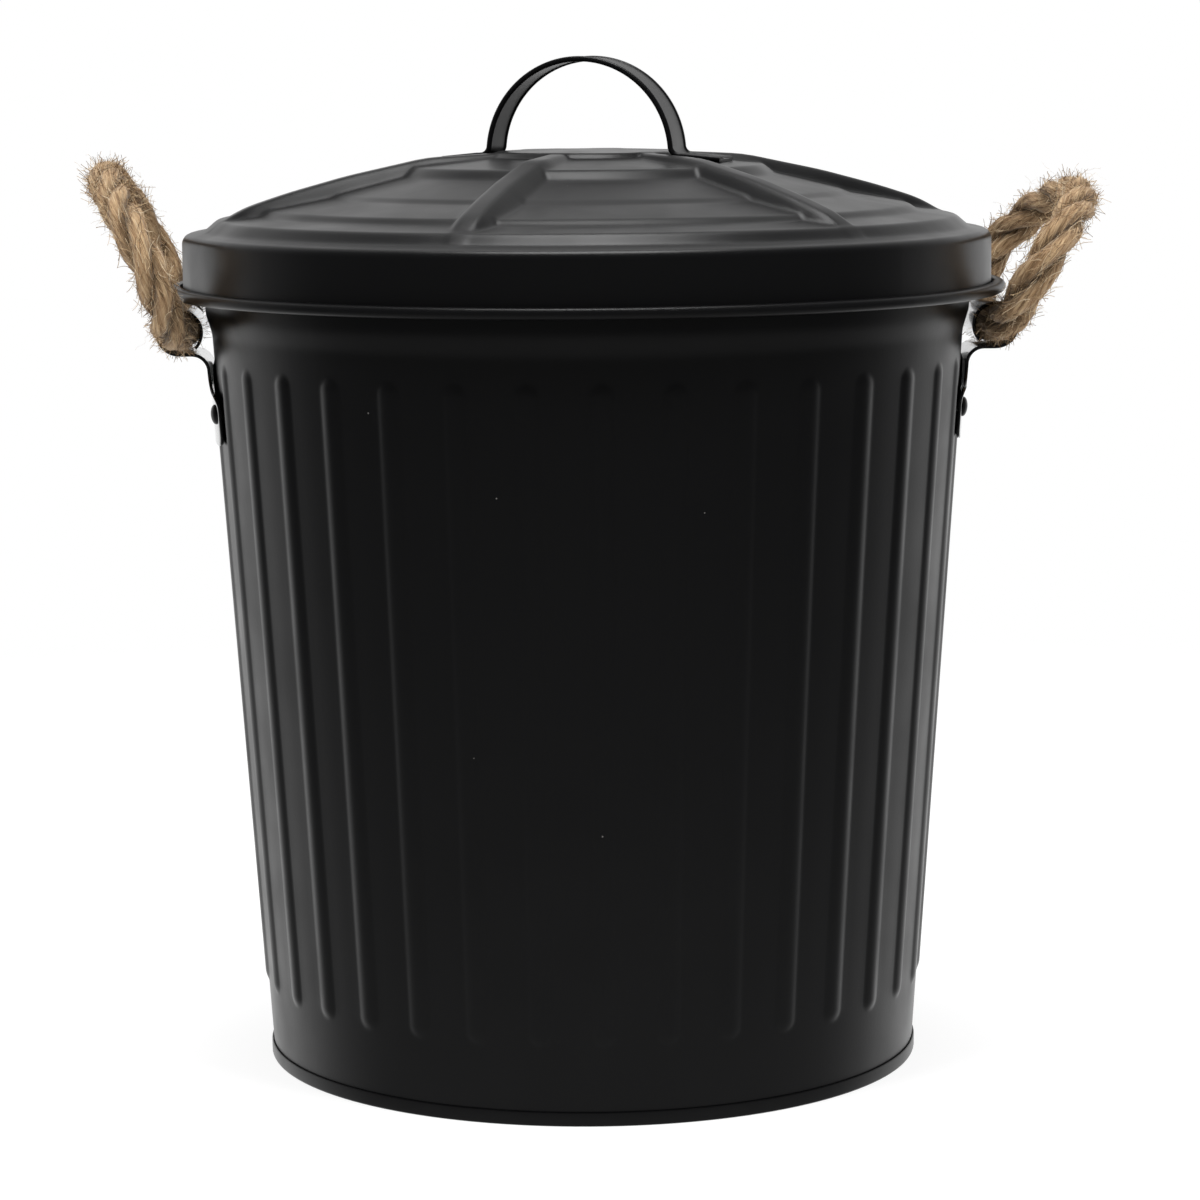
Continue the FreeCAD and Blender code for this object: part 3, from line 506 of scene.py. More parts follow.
def black_coat_material(name, roughness, dust=0.35):
    """Baked satin black coat on steel: a fine orange peel, faint unevenness in the
    sheet under it, and a few specks of dust."""
    material, tree, surface, add = shader(name)
    place = add("TexCoord").outputs["Object"]
    peel = add("TexNoise", {"Vector": place, "Scale": 900.0, "Detail": 2.0}).outputs["Fac"]
    sheet_wave = add("TexNoise", {"Vector": place, "Scale": 16.0, "Detail": 1.0}).outputs["Fac"]
    patch = add("TexNoise", {"Vector": place, "Scale": 38.0, "Detail": 4.0}).outputs["Fac"]
    rough = add("MapRange", {"Value": patch, "From Min": 0.3, "From Max": 0.7,
                             "To Min": roughness - 0.04, "To Max": roughness + 0.05})
    tree.links.new(rough.outputs["Result"], surface.inputs["Roughness"])
    specks = add("TexVoronoi", {"Vector": place, "Scale": 130.0}, feature="F1")
    chosen = add("Math", {0: specks.outputs["Distance"], 1: 0.035}, operation="LESS_THAN")
    rare = add("SeparateColor", {0: specks.outputs["Color"]})
    rare = add("Math", {0: rare.outputs[0], 1: 0.93}, operation="GREATER_THAN")
    dusty = add("Math", {0: chosen.outputs[0], 1: rare.outputs[0]}, operation="MULTIPLY")
    dusty = add("Math", {0: dusty.outputs[0], 1: dust}, operation="MULTIPLY")
    colour = add("Mix", {"Factor": dusty.outputs[0]}, data_type="RGBA")
    colour.inputs[6].default_value = (*BLACK_COAT, 1.0)
    colour.inputs[7].default_value = (0.32, 0.31, 0.29, 1.0)
    tree.links.new(colour.outputs[2], surface.inputs["Base Color"])
    wave = add("Bump", {"Height": sheet_wave, "Strength": 0.25, "Distance": 0.0008})
    fine = add("Bump", {"Height": peel, "Strength": 0.12, "Distance": 0.00012,
                        "Normal": wave.outputs["Normal"]})
    tree.links.new(fine.outputs["Normal"], surface.inputs["Normal"])
    surface.inputs["Specular IOR Level"].default_value = 0.5
    return material


def broken_line(points, places, ease):
    """Heights of a bent line at the places, with its corners eased over a width."""
    points = np.array(points)
    span = np.linspace(-ease, ease, 15)
    weight = np.cos(span / ease * math.pi / 2)
    values = np.interp(np.add.outer(places, span), points[:, 0], points[:, 1])
    return values @ weight / weight.sum()


def turned_rows(radii, heights, angles):
    """Rows of points: one radius or one radius for each column, at each height."""
    radii = np.broadcast_to(np.asarray(radii), (len(heights), len(angles)))
    return np.stack([radii * np.cos(angles), radii * np.sin(angles),
                     np.broadcast_to(np.asarray(heights)[:, None], radii.shape)], 2)


def arc_points(x, z, radius, first, last, count):
    angles = np.radians(np.linspace(first, last, count))
    return np.stack([x + radius * np.cos(angles), z + radius * np.sin(angles)], 1)


def make_wall():
    """One flute's width of the wall from the base to the rim's curl, repeated round."""
    bend = FLUTE_HALF_WIDTH
    heights = np.unique(np.concatenate([
        [WALL_LOW, 4.0, 5.0, 14.0],
        np.arange(FLUTE_LOW - 1.5, FLUTE_LOW + bend + 2.0, 0.75),
        np.linspace(FLUTE_LOW + bend + 2, FLUTE_HIGH - bend - 2, 9),
        np.arange(FLUTE_HIGH - bend - 2, FLUTE_HIGH + 2.0, 0.75),
        np.linspace(STEP_LOW - 4, STEP_HIGH + 4, 16),
        [255.0, RIM_HEIGHT],
    ]))
    base = broken_line([
        (-10.0, WALL_FOOT_RADIUS - 10 * WALL_TAPER),
        (STEP_LOW, WALL_FOOT_RADIUS + STEP_LOW * WALL_TAPER),
        (STEP_HIGH, NECK_RADIUS), (300.0, NECK_RADIUS)], heights, STEP_EASE)
    half_turn = math.pi / FLUTES
    inner = np.linspace(-FLUTE_STRIP, FLUTE_STRIP, 15) / STRIP_RADIUS
    between = 0.5 * (half_turn + FLUTE_STRIP / STRIP_RADIUS)
    angles = np.concatenate([[-half_turn, -between], inner, [between, half_turn]])
    side = np.abs(np.outer(base, angles))
    low, high = FLUTE_LOW + bend, FLUTE_HIGH - bend
    beyond = np.maximum(0, np.maximum(low - heights, heights - high))[:, None]
    reach = np.hypot(side, beyond) / FLUTE_HALF_WIDTH
    swell = 1 - reach ** 2
    swell = FLUTE_RISE * 0.5 * (swell + np.sqrt(swell ** 2 + FLUTE_SOFTNESS))
    swell = np.where(reach < 1.6, swell, 0.0)
    rows = turned_rows(base[:, None] + swell, heights, angles)
    curl = arc_points(NECK_RADIUS + RIM_CURL - SHEET, RIM_HEIGHT, RIM_CURL - SHEET, 180, -125, 16)[1:]
    top = turned_rows(curl[:, :1], curl[:, 1], angles)
    section = surface_strip("can_wall_sheet", np.concatenate([rows, top]))
    # A flute stands half a pitch off +X, so that a plain strip backs each bracket.
    wall = round_piece(section, FLUTES, coat, SHEET, 180 / FLUTES)
    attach(wall, "can")
    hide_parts("can_wall")


coat = black_coat_material("satin_black_coat", 0.36)
make_wall()


# The can's base: a recessed disc whose edge is folded down, out and up round the
# wall's lower edge and rolled tight.  The fold is the ring that the can stands on.
SEAM_RADIUS, SEAM_HEIGHT, FOLD_RADIUS, BASE_LIFT = 106.4, 4.5, 104.76, 3.4
SEAM_ROUND, FOLD_ROUND, LIP_ROUND = 0.8, 0.4, 0.3
BASE_STEPS = 144


def make_base():
    """The base's outline from the middle over the seam and back, turned round the axis."""
    lip, fold, middle = SEAM_RADIUS - SHEET, FOLD_RADIUS, 60.0
    outline = np.concatenate([
        [(0.0, BASE_LIFT), (middle, BASE_LIFT)],
        arc_points(fold - SHEET - SEAM_ROUND, BASE_LIFT - SEAM_ROUND, SEAM_ROUND, 90, 0, 5),
        arc_points(fold - SHEET + FOLD_ROUND, FOLD_ROUND, FOLD_ROUND, 180, 270, 4),
        arc_points(SEAM_RADIUS - SEAM_ROUND, SEAM_ROUND, SEAM_ROUND, 270, 360, 7),
        arc_points(SEAM_RADIUS - LIP_ROUND, SEAM_HEIGHT - LIP_ROUND, LIP_ROUND, 0, 180, 7),
        [(lip, SHEET), (fold, SHEET)],
        [(fold, BASE_LIFT + SHEET), (middle, BASE_LIFT + SHEET), (0.0, BASE_LIFT + SHEET)],
    ])
    angles = np.array([0.0, 2 * math.pi / BASE_STEPS])
    section = surface_strip("can_base_seam", turned_rows(outline[:, :1], outline[:, 1], angles))
    base = round_piece(section, BASE_STEPS, coat)
    edges = base.modifiers.new("corners", "EDGE_SPLIT")
    edges.split_angle = math.radians(50)
    base = plain_mesh(base)
    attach(base, "can")
    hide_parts("can_base")


make_base()


# The side brackets: a plate of 1 mm steel bent to the can and lying on the flutes'
# crests, with a tongue that bends out below the lid and is rolled into an open eye.
PLATE, PLATE_LOW, PLATE_SHOULDER, PLATE_HIGH = 1.0, 202.5, 219.0, 226.0
PLATE_HALF_WIDTH, TONGUE_HALF_WIDTH, PLATE_CORNER = 28.0, 14.0, 4.0
EYE_BORE, WEB_ROUND, SEAT = 6.6, 5.0, 0.95
EYE_X, EYE_Z, EYE_END = 131.2, 238.0, 225.0
# The plate is round like the can up to here, and flat across from the web on.
FLAT_FROM = 214.0
EDGE_ROUND, COLUMNS = 0.22, 25

# The brackets' coat is glossier than the sheet's, as under a clear film.
bracket_coat = black_coat_material("glossy_black_coat", 0.2)
bracket_gloss = bracket_coat.node_tree.nodes["Principled BSDF"]
bracket_gloss.inputs["Coat Weight"].default_value = 1.0
bracket_gloss.inputs["Coat Roughness"].default_value = 0.06
bracket_gloss.inputs["Coat IOR"].default_value = 1.7


def bracket_half_width(height):
    """Half the plate's width: round corners, then a hollow curve into the tongue."""
    low, high = PLATE_LOW + PLATE_CORNER, PLATE_SHOULDER - PLATE_CORNER
    beyond = max(low - height, height - high, 0.0)
    width = PLATE_HALF_WIDTH - PLATE_CORNER
    width += math.sqrt(max(PLATE_CORNER ** 2 - beyond ** 2, 0.0))
    if height <= PLATE_SHOULDER:
        return width
    fillet = PLATE_HIGH - PLATE_SHOULDER
    rest = min(height, PLATE_HIGH) - PLATE_HIGH
    return TONGUE_HALF_WIDTH + fillet - math.sqrt(max(fillet ** 2 - rest ** 2, 0.0))


def plate_face(height):
    """Radius of the plate's outer face, which lies on the flutes' crests."""
    return WALL_FOOT_RADIUS + WALL_TAPER * height + SEAT + PLATE


def make_bracket(name, side):
    """One bracket: rows across the plate, up the web and round the eye."""
    bend = EYE_Z - EYE_BORE - PLATE - WEB_ROUND
    heights = np.unique(np.concatenate([
        np.linspace(PLATE_LOW, PLATE_LOW + PLATE_CORNER, 6),
        np.linspace(PLATE_LOW + PLATE_CORNER, PLATE_SHOULDER - PLATE_CORNER, 5),
        np.linspace(PLATE_SHOULDER - PLATE_CORNER, PLATE_SHOULDER, 6),
        np.linspace(PLATE_SHOULDER + 0.02, bend, 9),
    ]))
    path = [(plate_face(height), height, bracket_half_width(height)) for height in heights]
    centre = plate_face(bend) + WEB_ROUND
    path += [(x, z, TONGUE_HALF_WIDTH) for x, z in arc_points(centre, bend, WEB_ROUND, 180, 90, 9)[1:]]
    ring = arc_points(EYE_X, EYE_Z, EYE_BORE + PLATE, -90, EYE_END, 44)
    path += [(x, z, TONGUE_HALF_WIDTH) for x, z in ring]
    rows = []
    for x, z, half in path:
        flat = min(max((z - FLAT_FROM) / (bend - FLAT_FROM), 0.0), 1.0) if x < centre else 1.0
        flat = flat * flat * (3 - 2 * flat)
        across = np.linspace(-half, half, COLUMNS)
        radius = plate_face(min(z, bend))
        sink = radius - np.sqrt(radius ** 2 - across ** 2)
        rows.append(np.stack([x - (1 - flat) * sink, across, np.full(COLUMNS, z)], 1))
    bracket = surface_strip(name, rows)
    bracket.data.transform(Matrix.Rotation(0 if side > 0 else math.pi, 4, "Z"))
    bracket.data.shade_smooth()
    bracket.data.materials.append(bracket_coat)
    wall = bracket.modifiers.new("plate", "SOLIDIFY")
    wall.thickness = PLATE * MM
    wall.offset = -1.0
    wall.use_even_offset = True
    edges = bracket.modifiers.new("edges", "BEVEL")
    edges.width = EDGE_ROUND * MM
    edges.segments = 2
    edges.limit_method = "ANGLE"
    edges.angle_limit = math.radians(50)
    bracket = plain_mesh(bracket)
    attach(bracket, "can")
    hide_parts(name.replace("_plate_and_eye", ""))


make_bracket("right_bracket_plate_and_eye", 1)
make_bracket("left_bracket_plate_and_eye", -1)


# The rivets: domed steel heads, a pair through each side bracket and one through each
# foot of the lid's handle, coated with the sheet that they hold.
SIDE_RIVET_RADIUS, SIDE_RIVET_DOME, SIDE_RIVET_GRIP = 3.2, 1.5, 2.65
LID_RIVET_RADIUS, LID_RIVET_DOME, LID_RIVET_GRIP = 2.8, 0.8, 1.65
SHANK_RADIUS, TAIL_RADIUS, TAIL_HEIGHT = 1.7, 2.6, 1.1
RIVET_SEAT = 0.05


def rivet_tree():
    """A rivet on each point, along the point's own axis: a dome, a shank and a tail."""
    tools = NodeTools("rivets")
    head = tools.size("Head")
    dome = tools.size("Dome")
    grip = tools.size("Grip")
    material = tools.size("Material", "NodeSocketMaterial")
    ball = tools.add("GeometryNodeMeshUVSphere", {"Segments": 32, "Rings": 16, "Radius": 1.0})
    place = tools.add("GeometryNodeInputPosition")
    parts = tools.add("ShaderNodeSeparateXYZ", {0: place.outputs[0]}).outputs
    # Everything under the equator becomes the head's flat underside.
    raised = tools.math("MAXIMUM", parts["Z"], 0.0)
    flat = tools.add("ShaderNodeCombineXYZ", {"X": parts["X"], "Y": parts["Y"], "Z": raised})
    cap = tools.add("GeometryNodeSetPosition", {"Geometry": ball.outputs[0], "Position": flat.outputs[0]})
    cap_size = tools.add("ShaderNodeCombineXYZ", {"X": head, "Y": head, "Z": dome})
    cap = tools.add("GeometryNodeTransform", {"Geometry": cap.outputs[0], "Scale": cap_size.outputs[0]})
    shank = tools.add("GeometryNodeMeshCylinder",
                      {"Vertices": 24, "Radius": SHANK_RADIUS * MM, "Depth": grip})
    middle = tools.add("ShaderNodeCombineXYZ", {"Z": tools.math("MULTIPLY", grip, -0.5)})
    shank = tools.add("GeometryNodeTransform",
                      {"Geometry": shank.outputs[0], "Translation": middle.outputs[0]})
    tail = tools.add("GeometryNodeMeshCylinder",
                     {"Vertices": 24, "Radius": TAIL_RADIUS * MM, "Depth": TAIL_HEIGHT * MM})
    below = tools.math("SUBTRACT", -0.5 * TAIL_HEIGHT * MM, grip)
    under = tools.add("ShaderNodeCombineXYZ", {"Z": below})
    tail = tools.add("GeometryNodeTransform",
                     {"Geometry": tail.outputs[0], "Translation": under.outputs[0]})
    rivet = tools.add("GeometryNodeJoinGeometry")
    for part in (cap, shank, tail):
        tools.tree.links.new(part.outputs[0], rivet.inputs[0])
    axis = tools.add("GeometryNodeInputNamedAttribute", {"Name": "axis"}, data_type="FLOAT_VECTOR")
    turn = tools.add("FunctionNodeAlignRotationToVector", {"Vector": axis.outputs["Attribute"]}, axis="Z")
    copies = tools.add("GeometryNodeInstanceOnPoints",
                       {"Points": tools.entry.outputs["Geometry"], "Instance": rivet.outputs[0],
                        "Rotation": turn.outputs[0]})
    return tools.finish(copies.outputs[0], material)


rivet_round = rivet_tree()
rivet_coat = black_coat_material("rivet_coat", 0.38)


def make_rivets(name, body, radius, dome, grip, places, nodes):
    """Rivets at places: a point in millimetres and the direction of the head."""
    mesh = bpy.data.meshes.new(name)
    mesh.from_pydata([tuple(np.array(point) * MM) for point, _ in places], [], [])
    axes = np.array([axis for _, axis in places]).ravel()
    mesh.attributes.new("axis", "FLOAT_VECTOR", "POINT").data.foreach_set("vector", axes)
    rivets = put_through(link(name, mesh), rivet_round, Head=radius * MM, Dome=dome * MM,
                         Grip=grip * MM, Material=rivet_coat)
    rivets = plain_mesh(rivets)
    rivets.data.shade_smooth()
    edges = rivets.modifiers.new("corners", "EDGE_SPLIT")
    edges.split_angle = math.radians(45)
    rivets = plain_mesh(rivets)
    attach(rivets, body)
    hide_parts(*nodes)


SIDE_RIVET_ANGLE, SIDE_RIVET_HEIGHT = 10.4, 212.5
for side_name, start in (("right", 0.0), ("left", 180.0)):
    places = []
    for offset in (-SIDE_RIVET_ANGLE, SIDE_RIVET_ANGLE):
        angle = math.radians(start + offset)
        reach = plate_face(SIDE_RIVET_HEIGHT) + RIVET_SEAT
        places.append(((reach * math.cos(angle), reach * math.sin(angle), SIDE_RIVET_HEIGHT),
                       (math.cos(angle), math.sin(angle), -WALL_TAPER)))
    make_rivets(f"{side_name}_bracket_rivets", "can", SIDE_RIVET_RADIUS, SIDE_RIVET_DOME,
                SIDE_RIVET_GRIP, places, [f"{side_name}_bracket_rivet_{end}" for end in ("front", "back")])


# The lid: one steel stamping that slips over the can's rim.  Four terraces fall from a
# flat crown between six raised ribs and step down to a ledge that rests on the rim, and
# the skirt ends in an outward curl.  A sixth of it is made here and repeated.
PANEL_EDGE, LEDGE_HEIGHT, LEDGE_INNER, LEDGE_SLOPE = 273.59, 270.13, 123.0, 0.2
TERRACES = [(0.0, 21.4), (15.0, 21.3), (29.0, 20.9), (31.0, 19.0), (57.0, 16.5), (61.0, 13.4), (82.0, 8.3),
            (85.0, 7.0), (104.0, 3.5), (107.0, 1.6), (119.0, 0.0), (LEDGE_INNER, -3.46),
            (140.0, -3.46 - LEDGE_SLOPE * 17.0)]
RIB_CREST = [(0.0, 21.0), (27.0, 20.7), (52.0, 19.4), (78.0, 13.9), (97.0, 8.8), (111.0, 4.3),
             (119.5, -0.6), (140.0, -16.0)]
RIB_HALF_CREST, RIB_SOFTNESS, RIB_ROUND = 2.2, 1.6, 0.01
TERRACE_EASE, RIB_EASE, RIB_BLEND = 1.3, 6.0, 0.5
SKIRT_RADIUS, SHOULDER_RADIUS = 130.3, 3.0
HEM_HEIGHT, HEM_ROUND, HEM_REACH, HEM_MOUTH = 250.97, 1.8, 135.0, 131.3
LID_RIBS, LID_TURN = 6, 9.7


def lid_height(radius, side):
    """Height of the stamped panel at a radius and a distance from the rib's middle."""
    panel = broken_line(TERRACES, radius, TERRACE_EASE)
    crest = broken_line(RIB_CREST, radius, RIB_EASE)
    off = np.hypot(np.maximum(np.abs(side) - RIB_HALF_CREST, 0), RIB_SOFTNESS) - RIB_SOFTNESS
    gap = crest - off - RIB_ROUND * side ** 2 - panel
    return PANEL_EDGE + panel + 0.5 * (gap + np.hypot(gap, RIB_BLEND)) - 0.02


def make_lid():
    """A sixth of the stamping with a rib along its middle, from the crown to the hem."""
    half_turn = math.pi / LID_RIBS
    radii = np.unique(np.concatenate([
        [0.0, 8.0, 16.0, 22.0, 26.0], np.arange(27.5, 33.0, 0.55), np.arange(34, 55, 3.5),
        np.arange(55, 63, 0.7), np.arange(64, 80, 3.2), np.arange(80, 87, 0.6),
        np.arange(88, 102, 2.8), np.arange(102, 109, 0.6), np.arange(110, 117, 1.0),
        np.arange(117, 126.8, 0.6), [127.2]]))
    # Columns run beside the rib at fixed distances from it, and fan in toward the centre.
    offsets = np.linspace(-12.0, 12.0, 27)
    rows = []
    for radius, carrier in zip(radii, np.maximum(radii, 24.0)):
        rib_angles = np.arcsin(offsets / carrier)
        rest = np.linspace(rib_angles[-1], half_turn, 7)[1:]
        angles = np.concatenate([-rest[::-1], rib_angles, rest])
        side = radius * np.sin(angles)
        flat = lid_height(np.full(len(angles), radius), side)
        rows.append(np.stack([radius * np.cos(angles), radius * np.sin(angles), flat], 1))
    corner = LEDGE_HEIGHT - LEDGE_SLOPE * (SKIRT_RADIUS - LEDGE_INNER)
    lean = math.degrees(math.atan(LEDGE_SLOPE))
    drop = SHOULDER_RADIUS * (math.sqrt(1 + LEDGE_SLOPE ** 2) - LEDGE_SLOPE)
    hollow = HEM_ROUND - SHEET
    near_hem, far_hem = SKIRT_RADIUS + hollow, HEM_REACH - HEM_ROUND
    edge = np.concatenate([
        arc_points(SKIRT_RADIUS - SHOULDER_RADIUS, corner - drop, SHOULDER_RADIUS, 90 - lean, 0, 9),
        [(SKIRT_RADIUS, 258.0)],
        arc_points(near_hem, HEM_HEIGHT, hollow, 180, 270, 6),
        arc_points(far_hem, HEM_HEIGHT, hollow, -90, 90, 12),
        [(HEM_MOUTH, HEM_HEIGHT + hollow)],
    ])
    lower = turned_rows(edge[:, :1], edge[:, 1], angles)
    section = surface_strip("lid_stamping", np.concatenate([rows, lower]), flip=True)
    lid = round_piece(section, LID_RIBS, coat, SHEET, LID_TURN)
    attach(lid, "lid")
    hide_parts("lid_shell")


make_lid()


# The lid's handle: a steel strap 16 mm wide with both edges folded into narrow beads,
# bent into an arch whose two feet lie flat on the first terrace.
STRAP_THICKNESS, STRAP_HALF_WIDTH, STRAP_SEAT = 0.9, 8.0, 0.05
ARCH_RADIUS, ARCH_TOP, STRAP_BEND, FOOT_REACH = 31.2, 324.4, 3.0, 47.0
BEAD_RADIUS, BEAD_SEAM = 0.9, 1.6
# Each foot is a little narrower at its last two rows of points.
END_TAPER = (0.93, 0.985, 1.0)
TREAD_SLOPE = (19.0 - 16.5) / (57.0 - 31.0)
HANDLE_TURN = LID_TURN - 180.0 / LID_RIBS


def tread_height(reach):
    """Height of the first terrace's tread at a distance from the lid's axis."""
    return PANEL_EDGE + 19.0 - TREAD_SLOPE * (reach - 31.0)


def strap_line():
    """The strap's middle line from one foot over the arch to the other."""
    hub = ARCH_TOP - ARCH_RADIUS
    middle = ARCH_RADIUS - STRAP_THICKNESS / 2
    knee_height = tread_height(ARCH_RADIUS + STRAP_BEND) + STRAP_SEAT + STRAP_THICKNESS + STRAP_BEND
    start = math.degrees(math.asin((knee_height - hub) / middle))
    arch = arc_points(0.0, hub, middle, start, 180 - start, 61)
    knee_x = arch[0, 0] + STRAP_BEND + STRAP_THICKNESS / 2
    knee = arc_points(knee_x, knee_height, STRAP_BEND + STRAP_THICKNESS / 2, 270, 180, 9)
    foot = [(reach, tread_height(reach) + STRAP_SEAT + STRAP_THICKNESS / 2) for reach in
            np.linspace(FOOT_REACH, knee_x + 0.8, 8)]
    half = np.concatenate([foot, knee])
    mirrored = half[::-1] * (-1, 1)
    return np.concatenate([half, arch[1:-1], mirrored])


def make_handle():
    """The strap: its section with a bead on each edge, carried along its line."""
    line = strap_line()
    ahead = np.gradient(line, axis=0)
    ahead /= np.linalg.norm(ahead, axis=1)[:, None]
    up = np.stack([ahead[:, 1], -ahead[:, 0]], 1)
    thick, middle = STRAP_THICKNESS / 2, STRAP_HALF_WIDTH - BEAD_RADIUS
    bead = [(middle + BEAD_RADIUS * math.cos(a), BEAD_RADIUS * math.sin(a))
            for a in np.radians(np.linspace(150, -150, 13))]
    seam = middle - BEAD_SEAM
    right = np.array([(0.0, thick), (seam, thick), *bead, (seam, -thick), (0.0, -thick)])
    profile = np.concatenate([right, right[-2:0:-1] * (-1, 1)])
    from_end = np.minimum(np.arange(len(line)), np.arange(len(line))[::-1])
    rows = []
    for point, normal, index in zip(line, up, from_end):
        # The beads stand out on both sides of the arch, but only on top of the feet.
        lift = (BEAD_RADIUS - thick) * min(max((15 - index) / 8, 0.0), 1.0)
        rise = profile[:, 1] + np.where(np.abs(profile[:, 0]) > seam + 0.1, lift, 0.0)
        across = profile[:, 0] * END_TAPER[min(index, 2)]
        rows.append(np.stack([point[0] + normal[0] * rise, across, point[1] + normal[1] * rise], 1))
    rows = np.array(rows)
    rows = np.concatenate([rows, rows[:, :1]], 1)
    strap = surface_strip("lid_handle_strap", rows)
    mesh = strap.data
    shell = bmesh.new()
    shell.from_mesh(mesh)
    bmesh.ops.remove_doubles(shell, verts=shell.verts, dist=1e-7)
    bmesh.ops.holes_fill(shell, edges=shell.edges, sides=60)
    bmesh.ops.recalc_face_normals(shell, faces=shell.faces)
    shell.to_mesh(mesh)
    shell.free()
    mesh.transform(Matrix.Rotation(math.radians(HANDLE_TURN), 4, "Z"))
    mesh.shade_smooth()
    mesh.materials.append(coat)
    edges = strap.modifiers.new("corners", "EDGE_SPLIT")
    edges.split_angle = math.radians(55)
    strap = plain_mesh(strap)
    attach(strap, "lid")
    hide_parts("lid_handle")


make_handle()

LID_RIVET_REACH = 43.5
places = []
for turn in (HANDLE_TURN, HANDLE_TURN + 180):
    angle = math.radians(turn)
    top = tread_height(LID_RIVET_REACH) + STRAP_SEAT + STRAP_THICKNESS + RIVET_SEAT
    places.append(((LID_RIVET_REACH * math.cos(angle), LID_RIVET_REACH * math.sin(angle), top),
                   (TREAD_SLOPE * math.cos(angle), TREAD_SLOPE * math.sin(angle), 1.0)))
make_rivets("lid_rivets", "lid", LID_RIVET_RADIUS, LID_RIVET_DOME, LID_RIVET_GRIP, places,
            ["lid_handle_rivet_front", "lid_handle_rivet_back"])


# The studio: a white floor and a white backdrop behind the can and on both sides of
# it, with the room dark in front, so that the black coat is dark where it faces the
# camera and pale at its edges.  Soft lamps hang above and on both sides of the front.
FLOOR_SIZE = 4.0
# The third of these is the strength of a painted glow on the floor near the can, not of a lamp.
ROOM_LIGHT, CEILING_LIGHT, PAINTED_FLOOR_GLOW = 0.045, 0.65, 0.18
SHADOW_SHARE, SHADOW_REACH = 0.35, 0.24

floor_mesh = bpy.data.meshes.new("floor")
floor_mesh.from_pydata([(-FLOOR_SIZE, -FLOOR_SIZE, 0), (FLOOR_SIZE, -FLOOR_SIZE, 0),
                        (FLOOR_SIZE, FLOOR_SIZE, 0), (-FLOOR_SIZE, FLOOR_SIZE, 0)], [], [(0, 1, 2, 3)])
floor = link("floor", floor_mesh)


def studio_white(add, heading):
    """The white that a ray finds: all of it for the camera and for glass; a reflection
    finds it toward the back of the studio, and the dark room toward the front."""
    rays = add("LightPath").outputs
    parts = add("SeparateXYZ", {0: heading}).outputs
    seen = add("MapRange", {"Value": parts["Y"], "From Min": 0.0, "From Max": 1.0,
                            "To Min": ROOM_LIGHT, "To Max": 1.0}, interpolation_type="SMOOTHSTEP")
    ceiling = add("MapRange", {"Value": parts["Z"], "From Min": 0.08, "From Max": 0.45,
                               "To Min": 1.0, "To Max": CEILING_LIGHT})
    seen = add("Math", {0: seen.outputs["Result"], 1: ceiling.outputs["Result"]}, operation="MULTIPLY")
    mirrored = add("Math", {0: rays["Is Glossy Ray"], 1: seen.outputs[0]}, operation="MULTIPLY")
    direct = add("Math", {0: rays["Is Camera Ray"], 1: rays["Is Transmission Ray"]}, operation="MAXIMUM")
    return add("Math", {0: direct.outputs[0], 1: mirrored.outputs[0]}, operation="MAXIMUM").outputs[0]


floor_material, tree, surface, add = shader("white_floor")
surface.inputs["Base Color"].default_value = (0.86, 0.86, 0.86, 1.0)
surface.inputs["Roughness"].default_value = 0.95
surface.inputs["Specular IOR Level"].default_value = 0.0
geometry = add("NewGeometry").outputs
heading = add("VectorMath", {0: geometry["Incoming"], "Scale": -1.0}, operation="SCALE")
away = add("VectorMath", {0: geometry["Position"]}, operation="LENGTH")
# A painted pool of light: the floor glows brighter toward the can, standing for the lit floor just in
# front of it, which shows in the lower part of its wall.
painted_glow_near_can = add("MapRange", {"Value": away.outputs["Value"], "From Min": 0.15, "From Max": 0.9,
                              "To Min": PAINTED_FLOOR_GLOW, "To Max": 0.0})
white = add("Math", {0: studio_white(add, heading.outputs[0]), 1: painted_glow_near_can.outputs["Result"]},
            operation="ADD")
paper = add("Emission", {"Strength": white.outputs[0]})
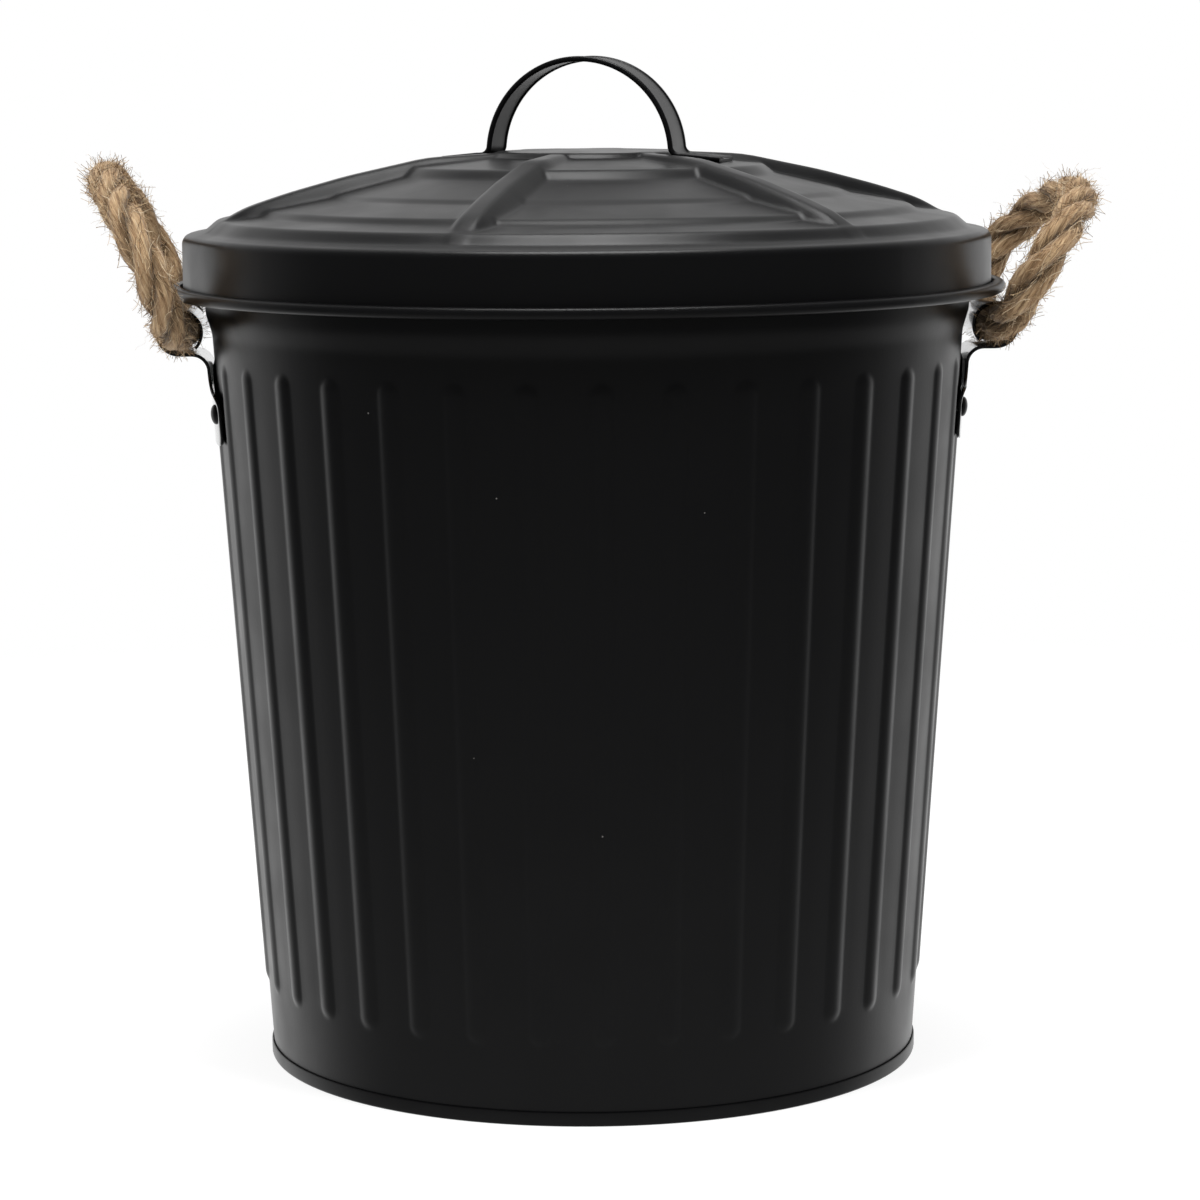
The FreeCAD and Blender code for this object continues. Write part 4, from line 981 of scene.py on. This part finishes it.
# Near the can the camera sees part of the lit floor itself, and so the can's shadow.
near = add("MapRange", {"Value": away.outputs["Value"], "From Min": 0.10, "From Max": SHADOW_REACH,
                        "To Min": 1.0 - SHADOW_SHARE, "To Max": 1.0}, interpolation_type="SMOOTHSTEP")
rays = add("LightPath").outputs
for_camera = add("Math", {0: rays["Is Camera Ray"], 1: near.outputs["Result"]}, operation="MULTIPLY")
for_others = add("Math", {0: rays["Is Glossy Ray"], 1: rays["Is Transmission Ray"]}, operation="MAXIMUM")
glow = add("Math", {0: for_camera.outputs[0], 1: for_others.outputs[0]}, operation="MAXIMUM")
blend = add("MixShader", {0: glow.outputs[0], 1: surface.outputs[0], 2: paper.outputs[0]})
tree.links.new(blend.outputs[0], tree.nodes["Material Output"].inputs["Surface"])
floor.data.materials.append(floor_material)

world = bpy.data.worlds.new("studio")
world.use_nodes = True
bpy.context.scene.world = world
tree, add = node_adder(world)
ambient = tree.nodes["Background"]
ambient.inputs["Color"].default_value = (1.0, 1.0, 1.0, 1.0)
ambient.inputs["Strength"].default_value = 0.4
white = add("Background", {"Color": (1.0, 1.0, 1.0, 1.0),
                           "Strength": studio_white(add, add("TexCoord").outputs["Generated"])})
diffuse = add("LightPath").outputs["Is Diffuse Ray"]
sky = add("MixShader", {0: diffuse, 1: white.outputs[0], 2: ambient.outputs[0]})
tree.links.new(sky.outputs[0], tree.nodes["World Output"].inputs["Surface"])


def soft_lamp(name, place, target, width, height, power, mirrored=False):
    """A lamp with a wide soft face, which shows in the black coat only if mirrored."""
    data = bpy.data.lights.new(name, "AREA")
    data.shape = "RECTANGLE"
    data.size, data.size_y = width, height
    data.energy = power
    lamp = bpy.data.objects.new(name, data)
    lamp.location = place
    lamp.visible_glossy = mirrored
    lamp.rotation_euler = (Vector(target) - Vector(place)).to_track_quat("-Z", "Y").to_euler()
    bpy.context.collection.objects.link(lamp)


soft_lamp("left_lamp", (-1.0, -0.9, 1.9), (0, 0, 0.2), 0.7, 0.7, 24)
soft_lamp("right_lamp", (1.0, -0.9, 1.9), (0, 0, 0.2), 0.7, 0.7, 24)
soft_lamp("top_lamp", (0.0, 0.1, 1.5), (0, 0.0, 0.25), 0.6, 0.6, 6, mirrored=True)
